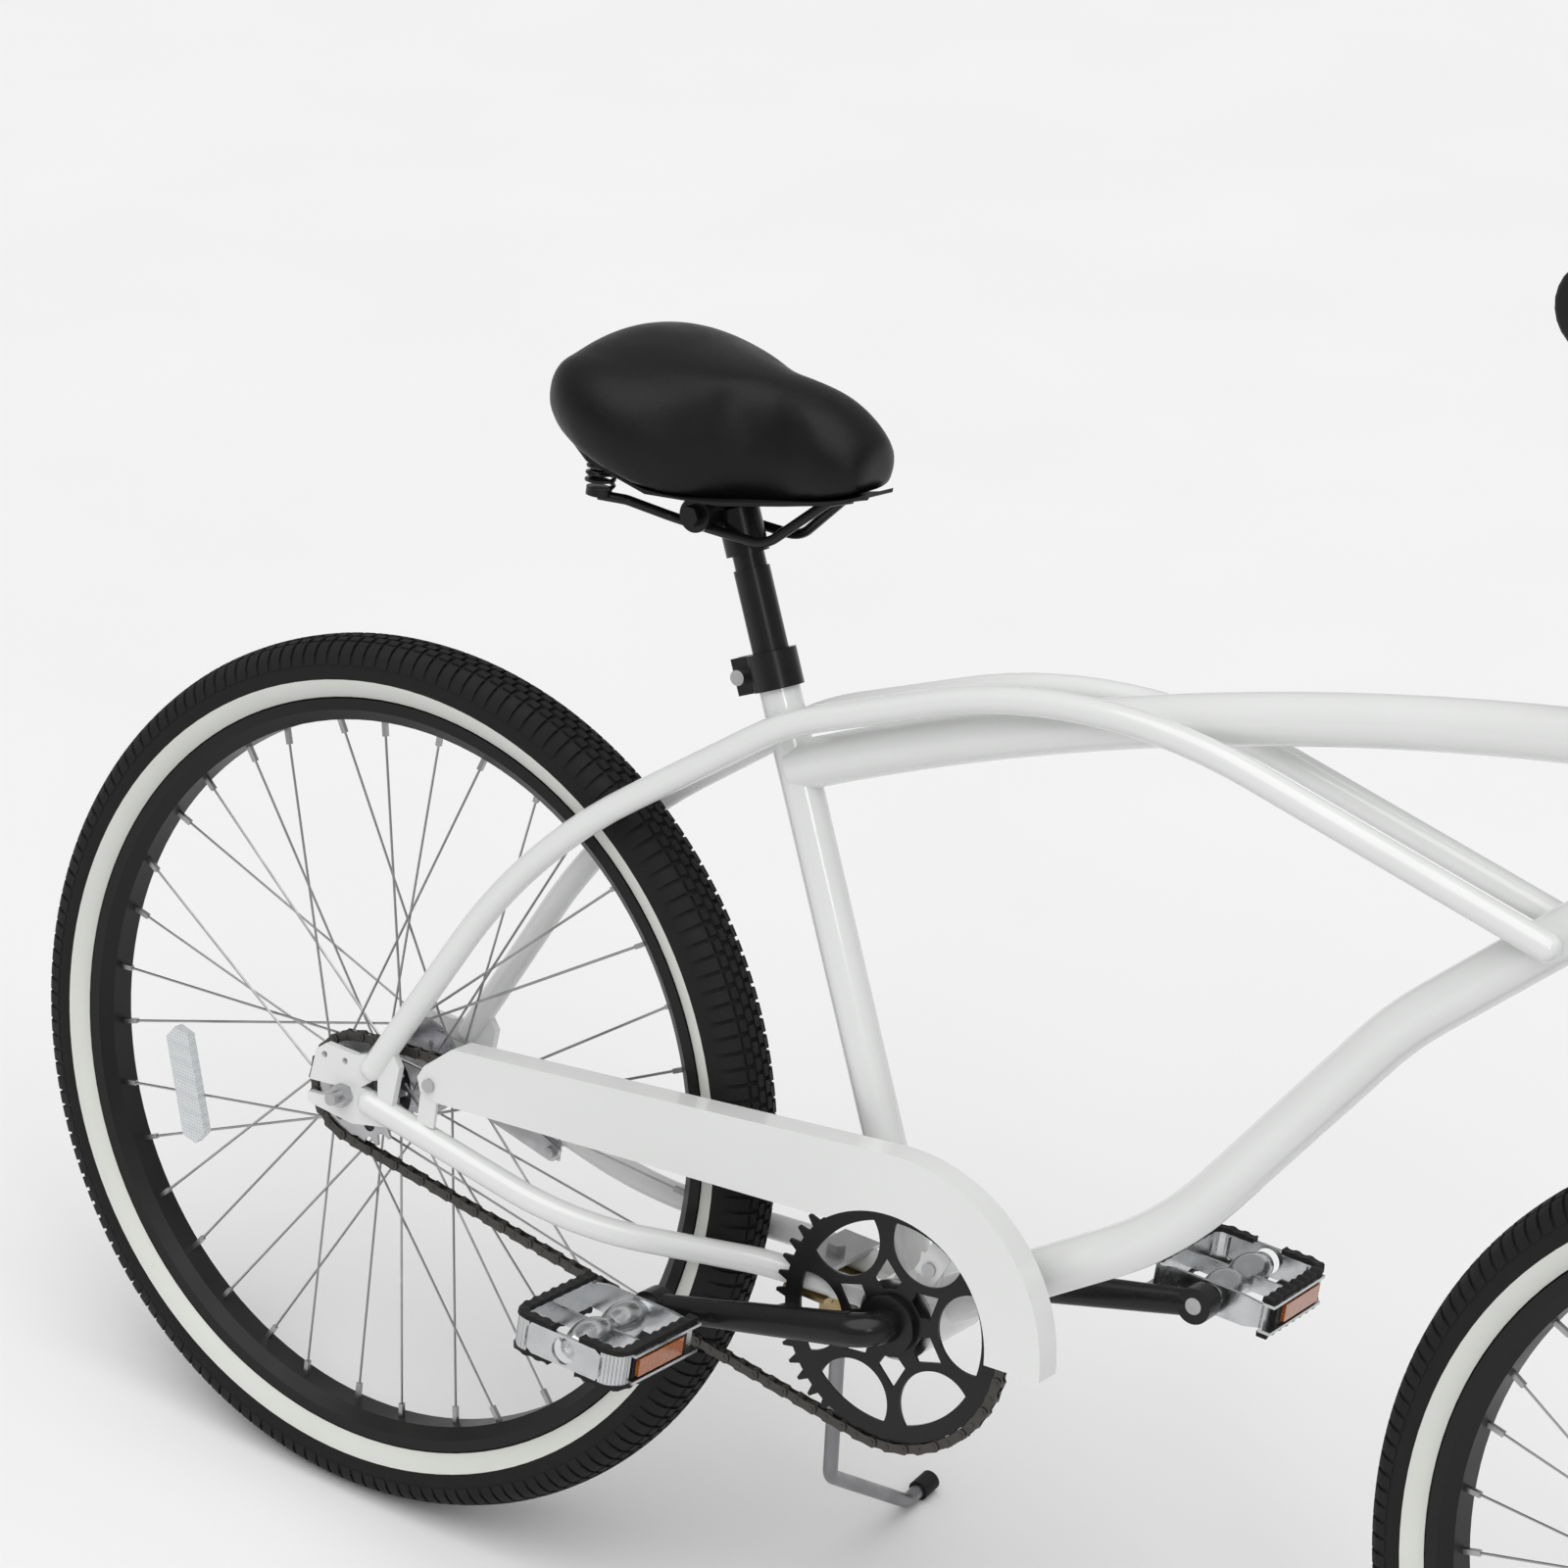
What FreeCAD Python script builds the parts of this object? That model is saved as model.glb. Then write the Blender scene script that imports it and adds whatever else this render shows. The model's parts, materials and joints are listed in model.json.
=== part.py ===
import FreeCAD, Part
import math
import os
from FreeCAD import Placement, Rotation, Vector

# A beach cruiser bicycle parked on its kickstand. X points forward, Y to the rider's left and Z up.
# Every size is in millimetres and every angle in degrees. The bicycle is drawn upright, its frame is
# dimensioned from the rear axle, and the whole is leaned on to the kickstand at the end.

# Stance
WHEELBASE = 1134.0
PARKED_LEAN = 11.0
PARKED_STEER = -7.7

# Rims and tyres
BEAD_RADIUS = 279.5
RIM_WIDTH = 35.0
RIM_WALL = 2.0
RIM_FLANGE = 6.5
RIM_DEPTH = 10.5
RIM_WELL_WIDTH = 20.0
TYRE_HEIGHT = 52.0
TYRE_WIDTH = 52.0
TYRE_WALL = 3.6
TREAD_WIDTH = 36.0
TREAD_CROWN = 4.5
SIDEWALL_LOW = 20.0
SIDEWALL_HIGH = 33.0

# Spokes
SPOKES = 36
SPOKE_CROSSES = 3
SPOKE_DIAMETER = 2.0
SPOKE_BITE = 0.3
SPOKE_RIM_OFFSET = 3.0
NIPPLE_LENGTH = 12.0
NIPPLE_WIDTH = 3.6
VALVE_DIAMETER = 8.0
VALVE_LENGTH = 32.0
REFLECTOR_LENGTH = 92.0
REFLECTOR_WIDTH = 22.0
REFLECTOR_THICKNESS = 8.0
REFLECTOR_RADIUS = 192.0
REFLECTOR_SEAT = 12.5

# Hubs and axles
AXLE_DIAMETER = 9.5
BEARING_FIT = 0.05
FRONT_HUB_WIDTH = 100.0
FRONT_FLANGE_SPACING = 66.0
FRONT_FLANGE_RADIUS = 24.0
FRONT_SPOKE_RADIUS = 20.0
FRONT_BARREL_RADIUS = 15.0
FRONT_CUP_RADIUS = 13.0
FRONT_CONE_RADIUS = 9.0
REAR_HUB_WIDTH = 110.0
REAR_FLANGE_SPACING = 58.0
REAR_FLANGE_RADIUS = 38.0
REAR_SPOKE_RADIUS = 33.5
REAR_BARREL_RADIUS = 28.0
REAR_CUP_RADIUS = 23.0
REAR_CONE_RADIUS = 19.0
DRIVER_RADIUS = 17.0
DRIVER_CONE_RADIUS = 7.0
FLANGE_THICKNESS = 3.2
HUB_WALL = 4.0
BEARING_WIDTH = 7.0
AXLE_OVERHANG = 17.0
AXLE_NUT_WIDTH = 15.0
AXLE_NUT_HEIGHT = 9.0

# Chain drive
CHAIN_PITCH = 12.7
CHAIN_LINKS = 106
CHAIN_LINE = 43.5
CHAIN_INNER_WIDTH = 3.3
CHAIN_PLATE = 1.0
CHAIN_PLATE_HEIGHT = 8.4
ROLLER_DIAMETER = 7.6
RING_TEETH = 44
COG_TEETH = 20
TOOTH_THICKNESS = 2.4
ROOT_CLEARANCE = 0.25
TOOTH_HEIGHT = 7.5
TOOTH_TIP = 2.2
TOOTH_BASE = 7.1
RING_WINDOWS = 6
RING_RIM_INNER = 72.6
RING_WINDOW_CENTRE = 66.9
RING_WINDOW_RADIUS = 28.4
KITE_INNER = 24.5
KITE_MIDDLE = 32.5
KITE_OUTER = 46.0
KITE_HALF_WIDTH = 11.0
COG_WINDOWS = 6
COG_WINDOW_RADIUS = 5.0

# Bottom bracket and crank
BB_DROP = 12.0
BB_SHELL_WIDTH = 68.0
BB_SHELL_RADIUS = 28.8
BB_SHELL_WALL = 3.1
CUP_RACE_RADIUS = 20.0
CUP_LIP = 2.5
CUP_DEPTH = 10.0
CRANK_CONE_RADIUS = 14.0
SPINDLE_RADIUS = 11.9
CRANK_LENGTH = 170.0
CRANK_ANGLE = 13.0
CRANK_ELBOW = 66.0
CRANK_EYE = 82.0
CRANK_EYE_RADIUS = 13.0
CRANK_EYE_WIDTH = 16.0
CRANK_ROOT = 12.5
CRANK_TIP = 9.5
LOCKNUT_WIDTH = 36.0
LOCKNUT_HEIGHT = 7.0

# Pedals
PEDAL_WIDTH = 92.0
PEDAL_LENGTH = 92.0
PEDAL_DEPTH = 22.0
PEDAL_PLATE = 3.0
PEDAL_RAIL = 8.0
PEDAL_GAP = 7.0
PEDAL_AXLE_RADIUS = 6.0
PEDAL_BARREL_RADIUS = 11.0
PEDAL_FIT = 0.06
TREAD_STRIP = 4.0
PEDAL_REFLECTOR_LENGTH = 52.0
PEDAL_REFLECTOR_HEIGHT = 13.0
PEDAL_REFLECTOR_DEPTH = 3.5

# Frame tubes
SEAT_ANGLE = 64.5
SEAT_TUBE_LENGTH = 461.0
SEAT_TUBE_WALL = 1.5
SEATPOST_DIAMETER = 25.4
SEATPOST_FIT = 0.08
MAIN_TUBE_RADIUS = 17.45
MAIN_TUBE_WALL = 1.4
STAY_RADIUS = 9.5
STAY_WALL = 1.2
WELD_SINK = 1.0
HEAD_ANGLE = 69.5
FORK_RAKE = 43.0
HEAD_TUBE_LOW = 455.0
HEAD_TUBE_HIGH = 597.0
HEAD_TUBE_RADIUS = 17.5
HEAD_TUBE_WALL = 2.2
TOP_TUBE_START = 79.0
TOP_TUBE_RISE = 118.0
TOP_TUBE_RUN = 290.0
TOP_TUBE_JOINT = 573.0
DOWN_TUBE_JOINT = 494.0
DOWN_TUBE_BEND = 260.0
DROPOUT_THICKNESS = 6.0
EYELET_RADIUS = 2.55
REAR_EYELETS = ((-22.0, 24.0), (-3.0, 25.0))
FORK_EYELET_UP = 18.0
FORK_EYELET_AHEAD = 8.0

# Seat
SEATPOST_RISE = 94.0
SEATPOST_INSERTION = 150.0
SEATPOST_NECK_RADIUS = 11.1
SEATPOST_NECK = 34.0
CLAMP_HEIGHT = 26.0
CLAMP_WALL = 3.4
CLAMP_GAP = 4.0
SADDLE_CLAMP_RADIUS = 12.0
SADDLE_CLAMP_WIDTH = 60.0
RAIL_RADIUS = 3.5
RAIL_SPACING = 44.0
SPRING_WIRE = 3.2
SPRING_DIAMETER = 22.0
SPRING_HEIGHT = 18.0
SPRING_TURNS = 3
SPRING_SPACING = 112.0
SPRING_BACK = 62.0
SPRING_DISC = 2.0
RAIL_DROP = 8.0
RAIL_TAIL_RISE = 10.0
SADDLE_SETBACK = 18.0
SADDLE_BASE = 3.0

# Fork, stem and handlebar
STEERER_RADIUS = 12.7
STEERER_WALL = 1.55
QUILL_FIT = 0.08
HEADSET_STACK = 13.0
HEADSET_RADIUS = 22.0
HEADSET_RACE_RADIUS = 16.0
LOCKNUT_STACK = 15.0
CROWN_HEIGHT = 26.0
CROWN_GAP = 0.1
CROWN_WIDTH = 118.0
CROWN_DEPTH = 34.0
BLADE_SPREAD = 43.0
BLADE_TOP_RADIUS = 13.0
BLADE_TIP_RADIUS = 8.5
BLADE_BEND = 190.0
FORK_TIP_THICKNESS = 5.0
STEM_RISE = 62.0
STEM_REACH = 112.0
STEM_RADIUS = 15.0
HANDLEBAR_RADIUS = 11.1
HANDLEBAR_CLAMP_RADIUS = 12.7
HANDLEBAR_WIDTH = 570.0
HANDLEBAR_RISE = 185.0
HANDLEBAR_SWEEP = 16.0
HANDLEBAR_FOOT = 105.0
HANDLEBAR_SHOULDER = 240.0
GRIP_LENGTH = 125.0
GRIP_RADIUS = 16.5

# Chain guard
GUARD_RADIUS = 126.0
GUARD_CUTOUT = 83.5
GUARD_PLANE = 60.0
GUARD_SHEET = 1.0
GUARD_FLANGE = 23.0
GUARD_FRONT_ANGLE = 4.0
GUARD_SCREW_RADIUS = 2.5
GUARD_HEAD_RADIUS = 5.0

# Coaster brake arm
BRAKE_ARM_REACH = 118.0
BRAKE_ARM_DROP = 33.0
BRAKE_ARM_THICKNESS = 3.0
BRAKE_ARM_PLANE = 41.5
CLIP_SHEET = 1.5
CLIP_WIDTH = 13.0

# Kickstand
STAND_PIVOT_BACK = 75.0
STAND_PIVOT_DROP = 40.0
STAND_PIVOT_LEFT = 20.0
STAND_KNEE_BACK = 91.0
STAND_KNEE_LEFT = 74.0
STAND_KNEE_DROP = 196.0
STAND_KNEE_BEND = 20.0
STAND_HEEL_BEND = 14.0
STAND_FOOT_BACK = 98.0
STAND_FOOT_LEFT = 214.0
STAND_LEG_RADIUS = 5.5
STAND_EYE_RADIUS = 10.0
STAND_EYE_LENGTH = 14.0
STAND_PIN_RADIUS = 5.0
STAND_EAR = 4.0
STAND_FIT = 0.06
STAND_SIDE_GAP = 0.4
STAND_FOOT_LENGTH = 30.0
STAND_TIP_RADIUS = 8.0
STAND_PLATE = 3.5
STAND_BITE = 0.7
STAND_PLATE_WIDTH = 72.0

LEFT = Vector(0, 1, 0)
UP = Vector(0, 0, 1)

# Worked out from the driving dimensions
WHEEL_RADIUS = BEAD_RADIUS + TYRE_HEIGHT
REAR = Vector(-WHEELBASE / 2, 0, WHEEL_RADIUS)
FRONT = Vector(WHEELBASE / 2, 0, WHEEL_RADIUS)
FRONT_FACE = FRONT_HUB_WIDTH / 2
REAR_FACE = REAR_HUB_WIDTH / 2
DROPOUT_PLANE = REAR_FACE + DROPOUT_THICKNESS / 2
SPARE_PITCHES = CHAIN_LINKS - (RING_TEETH + COG_TEETH) / 2
TEETH_TERM = 8 * ((RING_TEETH - COG_TEETH) / (2 * math.pi)) ** 2
CENTRES = CHAIN_PITCH / 4 * (SPARE_PITCHES + math.sqrt(SPARE_PITCHES ** 2 - TEETH_TERM))
BB = REAR + Vector(math.sqrt(CENTRES ** 2 - BB_DROP ** 2), 0, -BB_DROP)
SEAT_LINE = Vector(-math.cos(math.radians(SEAT_ANGLE)), 0, math.sin(math.radians(SEAT_ANGLE)))
SEAT_TOP = BB + SEAT_LINE * SEAT_TUBE_LENGTH
SEAT_BORE = SEATPOST_DIAMETER / 2 + SEATPOST_FIT
SEAT_TUBE_RADIUS = SEAT_BORE + SEAT_TUBE_WALL
STEER_LINE = Vector(-math.cos(math.radians(HEAD_ANGLE)), 0, math.sin(math.radians(HEAD_ANGLE)))
STEER_AHEAD = Vector(STEER_LINE.z, 0, -STEER_LINE.x)
STEER_FOOT = FRONT - STEER_AHEAD * FORK_RAKE
STRINGER_SIDE = MAIN_TUBE_RADIUS + STAY_RADIUS - WELD_SINK
RING_PITCH_RADIUS = CHAIN_PITCH / (2 * math.sin(math.pi / RING_TEETH))
COG_PITCH_RADIUS = CHAIN_PITCH / (2 * math.sin(math.pi / COG_TEETH))
SADDLE_POINT = SEAT_TOP + SEAT_LINE * SEATPOST_RISE
CRANK_LINE = Vector(-math.cos(math.radians(CRANK_ANGLE)), 0, -math.sin(math.radians(CRANK_ANGLE)))


def behind(x, z, y=0.0):
    """A point given from the rear axle: x forward of it, z above it and y to the left."""
    return REAR + Vector(x, y, z)


def steered(height, ahead=0.0, left=0.0):
    """A point given along the steering line, counted from the front axle's height on it."""
    return STEER_FOOT + STEER_LINE * height + STEER_AHEAD * ahead + LEFT * left


def mirrored(shape):
    """The same shape on the other side of the bicycle."""
    return shape.mirror(Vector(), LEFT)


def bar(start, end, radius):
    """A round bar between two points."""
    run = end - start
    return Part.makeCylinder(radius, run.Length, start, run)


def ring(start, end, inner, outer):
    """A tube between two points."""
    return bar(start, end, outer).cut(bar(start, end, inner))


def across(centre, low, high, inner, outer):
    """A tube along the axle direction, from low to high on either side of its centre."""
    return ring(centre + LEFT * low, centre + LEFT * high, inner, outer)


def prism(points, depth):
    """A plate whose flat outline is pushed along the depth vector."""
    return Part.Face(Part.makePolygon(points + points[:1])).extrude(depth)


def hexagon(centre, axis, across_flats, height):
    """A hexagonal nut blank that stands on its centre point."""
    radius = across_flats / math.sqrt(3)
    corners = [Vector(radius, 0, 0)]
    for step in range(1, 6):
        turn = math.radians(60 * step)
        corners.append(Vector(radius * math.cos(turn), radius * math.sin(turn), 0))
    blank = prism(corners, UP * height)
    blank.Placement = Placement(centre, Rotation(UP, axis))
    return blank


def turned(profile):
    """A ring turned about the Y axis from (y, radius) corners."""
    corners = [Vector(radius, y, 0) for y, radius in profile]
    face = Part.Face(Part.makePolygon(corners + corners[:1]))
    return face.revolve(Vector(), LEFT, 360)


def bent(points, bends):
    """Straight runs through the points, joined by tangent arcs of the given radii."""
    edges = []
    start = points[0]
    for corner, following, radius in zip(points[1:-1], points[2:], bends):
        back = (start - corner).normalize()
        onward = (following - corner).normalize()
        half = back.getAngle(onward) / 2
        reach = radius / math.tan(half)
        first = corner + back * reach
        last = corner + onward * reach
        inward = (back + onward).normalize()
        middle = corner + inward * (radius / math.sin(half) - radius)
        edges.append(Part.LineSegment(start, first).toShape())
        edges.append(Part.Arc(first, middle, last).toShape())
        start = last
    edges.append(Part.LineSegment(start, points[-1]).toShape())
    return Part.Wire(edges)


def pipe(path, radius):
    """A solid round rod swept along a path."""
    first = path.Edges[0]
    start = first.valueAt(first.FirstParameter)
    heading = first.tangentAt(first.FirstParameter)
    section = Part.Wire(Part.makeCircle(radius, start, heading))
    return path.makePipeShell([section], True, False)


def hollow(path, radius, wall):
    """A tube swept along a path, open at both ends."""
    return pipe(path, radius).cut(pipe(path, radius - wall))


# Wheels, drawn about the origin with the axle along Y

def rim():
    half = RIM_WIDTH / 2
    lip = BEAD_RADIUS + RIM_FLANGE
    floor = BEAD_RADIUS - RIM_DEPTH
    well = RIM_WELL_WIDTH / 2
    outside = [(-half, lip), (-half, BEAD_RADIUS - RIM_WALL), (-well, floor)]
    inside = [(RIM_WALL - half, lip), (RIM_WALL - half, BEAD_RADIUS), (RIM_WALL / 2 - well, floor + RIM_WALL)]
    left = [(-y, radius) for y, radius in reversed(outside)]
    channel = [(-y, radius) for y, radius in inside] + list(reversed(inside))
    return turned(outside + left + channel)


def tyre():
    seat = RIM_WIDTH / 2 - RIM_WALL
    half = TYRE_WIDTH / 2
    shoulder = WHEEL_RADIUS - TREAD_CROWN
    low = BEAD_RADIUS + SIDEWALL_LOW
    high = BEAD_RADIUS + SIDEWALL_HIGH
    outer = [(seat, BEAD_RADIUS), (seat, BEAD_RADIUS + RIM_FLANGE), (half, low), (half, high)]
    outer.append((TREAD_WIDTH / 2, shoulder))
    inner = [(TREAD_WIDTH / 2 - TYRE_WALL / 2, shoulder - TYRE_WALL), (half - TYRE_WALL, low)]
    inner.append((seat - TYRE_WALL, BEAD_RADIUS))
    crown = [(0.0, WHEEL_RADIUS)]
    outer_right = [(-y, radius) for y, radius in reversed(outer)]
    inner_right = [(-y, radius) for y, radius in inner]
    return turned(outer + crown + outer_right + list(reversed(inner_right)) + inner)


def on_wheel(radius, angle, y):
    turn = math.radians(angle)
    return Vector(radius * math.cos(turn), y, radius * math.sin(turn))


def wire_prism(start, end, radius, sides, turn=0.0):
    """A straight thin piece with a few flat sides, one pair of them facing along the axle."""
    run = end - start
    first = run.cross(LEFT).normalize()
    second = run.cross(first).normalize()
    corners = []
    for step in range(sides):
        angle = 2 * math.pi * step / sides + math.radians(turn)
        corners.append(start + first * (radius * math.cos(angle)) + second * (radius * math.sin(angle)))
    return prism(corners, run)


def spokes(hub, spoke_radius, flange_spacing, rim_ring):
    """All the spokes of a wheel with their nipples, laced from both faces of both flanges."""
    step = 720.0 / SPOKES
    pieces = []
    for side, start_angle in ((1, step / 2), (-1, 0.0)):
        for face in (1, -1):
            angle = start_angle if face > 0 else start_angle + step
            lie = side * flange_spacing / 2 + face * (FLANGE_THICKNESS / 2 + SPOKE_DIAMETER / 2 - SPOKE_BITE)
            foot = on_wheel(spoke_radius, angle, lie)
            seat_angle = angle + face * step * SPOKE_CROSSES
            head = on_wheel(BEAD_RADIUS - RIM_DEPTH, seat_angle, side * SPOKE_RIM_OFFSET)
            along = (head - foot).normalize()
            neck = head - along * NIPPLE_LENGTH
            spoke = wire_prism(foot, neck, SPOKE_DIAMETER / 2, 6).cut(hub)
            half_width = NIPPLE_WIDTH / math.sqrt(2)
            nipple = wire_prism(neck, head + along, half_width, 4, 45.0).cut(rim_ring)
            for turn in range(SPOKES // 4):
                for piece in (spoke, nipple):
                    copy = piece.copy()
                    copy.rotate(Vector(), LEFT, -2 * step * turn)
                    pieces.append(copy)
    return pieces


def valve(rim_ring):
    """The valve stem and its cap, midway between two nipples."""
    angle = 180.0 / SPOKES
    base = BEAD_RADIUS - RIM_DEPTH
    end = on_wheel(base - VALVE_LENGTH, angle, 0)
    stem = bar(on_wheel(base + 1, angle, 0), end, VALVE_DIAMETER / 2 - 1)
    cap = bar(on_wheel(base - VALVE_LENGTH / 2, angle, 0), end, VALVE_DIAMETER / 2)
    return stem.fuse(cap).cut(rim_ring)


def reflector(angle, spoke_plane, wires):
    """A spoke reflector whose length lies along the wheel's round, grooved for the spokes it clips on."""
    half = REFLECTOR_LENGTH / 2
    rise = REFLECTOR_WIDTH / 2
    chamfer = REFLECTOR_WIDTH / 3
    corners = [(-half + chamfer, -rise), (half - chamfer, -rise), (half, 0), (half - chamfer, rise)]
    corners += [(-half + chamfer, rise), (-half, 0)]
    points = [Vector(REFLECTOR_RADIUS + b, spoke_plane, a) for a, b in corners]
    plate = prism(points, LEFT * -REFLECTOR_THICKNESS)
    plate.rotate(Vector(), LEFT, -angle)
    for wire in wires:
        if wire.BoundBox.intersect(plate.BoundBox):
            plate = plate.cut(wire)
    return plate


def front_hub():
    edge = FRONT_FLANGE_SPACING / 2 - FLANGE_THICKNESS / 2
    face = FRONT_FLANGE_SPACING / 2 + FLANGE_THICKNESS / 2
    end = face + BEARING_WIDTH
    right = [(-end, FRONT_CUP_RADIUS + HUB_WALL), (-face, FRONT_CUP_RADIUS + HUB_WALL), (-face, FRONT_FLANGE_RADIUS)]
    right += [(-edge, FRONT_FLANGE_RADIUS), (-edge, FRONT_BARREL_RADIUS)]
    bore = [(-face, FRONT_BARREL_RADIUS - HUB_WALL), (-face, FRONT_CUP_RADIUS), (-end, FRONT_CUP_RADIUS)]
    left = [(-y, radius) for y, radius in reversed(right)]
    left_bore = [(-y, radius) for y, radius in reversed(bore)]
    return turned(right + left + left_bore + bore)


def front_bearings():
    face = FRONT_FLANGE_SPACING / 2 + FLANGE_THICKNESS / 2
    inner = FRONT_CONE_RADIUS + BEARING_FIT
    one = across(Vector(), face, face + BEARING_WIDTH, inner, FRONT_CUP_RADIUS)
    return [one, mirrored(one)]


def front_axle():
    end = FRONT_FACE + FORK_TIP_THICKNESS + AXLE_OVERHANG
    face = FRONT_FLANGE_SPACING / 2 + FLANGE_THICKNESS / 2
    cone = across(Vector(), face, FRONT_FACE, AXLE_DIAMETER / 2, FRONT_CONE_RADIUS)
    return [bar(LEFT * -end, LEFT * end, AXLE_DIAMETER / 2), cone, mirrored(cone)]


def axle_nuts(plane):
    nut = hexagon(LEFT * plane, LEFT, AXLE_NUT_WIDTH, AXLE_NUT_HEIGHT)
    nut = nut.cut(bar(LEFT * (plane - 1), LEFT * (plane + AXLE_NUT_HEIGHT + 1), AXLE_DIAMETER / 2))
    return [nut, mirrored(nut)]


def rear_hub():
    edge = REAR_FLANGE_SPACING / 2 - FLANGE_THICKNESS / 2
    face = REAR_FLANGE_SPACING / 2 + FLANGE_THICKNESS / 2
    end = face + BEARING_WIDTH
    driver_cup = DRIVER_RADIUS + HUB_WALL
    right = [(-end, driver_cup + HUB_WALL), (-face, driver_cup + HUB_WALL), (-face, REAR_FLANGE_RADIUS)]
    right += [(-edge, REAR_FLANGE_RADIUS), (-edge, REAR_BARREL_RADIUS)]
    left = [(edge, REAR_BARREL_RADIUS), (edge, REAR_FLANGE_RADIUS), (face, REAR_FLANGE_RADIUS)]
    left += [(face, REAR_CUP_RADIUS + HUB_WALL), (end, REAR_CUP_RADIUS + HUB_WALL)]
    bore = [(end, REAR_CUP_RADIUS), (-face, REAR_CUP_RADIUS), (-face, driver_cup), (-end, driver_cup)]
    return turned(right + left + bore)


def rear_bearings():
    face = REAR_FLANGE_SPACING / 2 + FLANGE_THICKNESS / 2
    driver_cup = DRIVER_RADIUS + HUB_WALL
    brake_side = across(Vector(), face, face + BEARING_WIDTH, REAR_CONE_RADIUS + BEARING_FIT, REAR_CUP_RADIUS)
    drive_side = across(Vector(), -face - BEARING_WIDTH, -face, DRIVER_RADIUS + BEARING_FIT, driver_cup)
    return [brake_side, drive_side]


def rear_axle():
    end = REAR_FACE + DROPOUT_THICKNESS + AXLE_OVERHANG
    face = REAR_FLANGE_SPACING / 2 + FLANGE_THICKNESS / 2
    arm_outside = BRAKE_ARM_PLANE + BRAKE_ARM_THICKNESS
    brake_cone = across(Vector(), face, BRAKE_ARM_PLANE, AXLE_DIAMETER / 2, REAR_CONE_RADIUS)
    brake_nut = across(Vector(), arm_outside, REAR_FACE, AXLE_DIAMETER / 2, AXLE_NUT_WIDTH / 2)
    drive_cone = across(Vector(), -REAR_FACE, -face, AXLE_DIAMETER / 2, DRIVER_CONE_RADIUS)
    return [bar(LEFT * -end, LEFT * end, AXLE_DIAMETER / 2), brake_cone, brake_nut, drive_cone]


# Chain drive

def toothed(teeth, pitch_radius, first_gap):
    """A toothed disc about the Y axis, with a gap at the first_gap angle (radians in the XZ plane)."""
    root = pitch_radius - ROLLER_DIAMETER / 2 - ROOT_CLEARANCE
    tip = root + TOOTH_HEIGHT
    corners = []
    for tooth in range(teeth):
        middle = first_gap + 2 * math.pi * (tooth + 0.5) / teeth
        for radius, offset in ((root, -TOOTH_BASE), (tip, -TOOTH_TIP), (tip, TOOTH_TIP), (root, TOOTH_BASE)):
            angle = middle + offset / 2 / radius
            corners.append(Vector(radius * math.cos(angle), -TOOTH_THICKNESS / 2, radius * math.sin(angle)))
    return prism(corners, LEFT * TOOTH_THICKNESS)


def ring_window(angle):
    """One large window of the chainring, a round one whose outer side follows the rim."""
    middle = on_wheel(RING_WINDOW_CENTRE, angle, -TOOTH_THICKNESS)
    disc = bar(middle, middle + LEFT * (2 * TOOTH_THICKNESS), RING_WINDOW_RADIUS)
    return disc.common(bar(LEFT * -TOOTH_THICKNESS, LEFT * TOOTH_THICKNESS, RING_RIM_INNER))


def hub_window(angle):
    """One small kite-shaped window between two large ones."""
    low = math.degrees(KITE_HALF_WIDTH / 2 / KITE_INNER)
    wide = math.degrees(KITE_HALF_WIDTH / KITE_MIDDLE)
    corners = ((KITE_INNER, -low), (KITE_INNER, low), (KITE_MIDDLE, wide), (KITE_OUTER, 0), (KITE_MIDDLE, -wide))
    points = [on_wheel(radius, angle + offset, -TOOTH_THICKNESS) for radius, offset in corners]
    return prism(points, LEFT * (2 * TOOTH_THICKNESS))


def chainring(first_gap):
    plate = toothed(RING_TEETH, RING_PITCH_RADIUS, first_gap)
    step = 360.0 / RING_WINDOWS
    for window in range(RING_WINDOWS):
        plate = plate.cut(ring_window(window * step + CRANK_ANGLE))
        plate = plate.cut(hub_window((window + 0.5) * step + CRANK_ANGLE))
    plate = plate.cut(bar(LEFT * -TOOTH_THICKNESS, LEFT * TOOTH_THICKNESS, SPINDLE_RADIUS))
    plate.translate(BB - LEFT * CHAIN_LINE)
    return plate


def rear_sprocket(first_gap):
    """The sprocket on its driver, which turns on the axle's cone."""
    plate = toothed(COG_TEETH, COG_PITCH_RADIUS, first_gap)
    hole_ring = (DRIVER_RADIUS + COG_PITCH_RADIUS) / 2 - 1
    for hole in range(COG_WINDOWS):
        middle = on_wheel(hole_ring, hole * 360.0 / COG_WINDOWS, -TOOTH_THICKNESS)
        plate = plate.cut(bar(middle, middle + LEFT * (2 * TOOTH_THICKNESS), COG_WINDOW_RADIUS))
    plate.translate(LEFT * -CHAIN_LINE)
    face = REAR_FLANGE_SPACING / 2 + FLANGE_THICKNESS / 2
    driver = bar(LEFT * -(CHAIN_LINE + TOOTH_THICKNESS), LEFT * -face, DRIVER_RADIUS)
    bore = bar(LEFT * -REAR_FACE, LEFT * (1 - face), DRIVER_CONE_RADIUS + BEARING_FIT)
    sprocket = plate.fuse(driver).cut(bore)
    sprocket.translate(REAR)
    return sprocket


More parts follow.
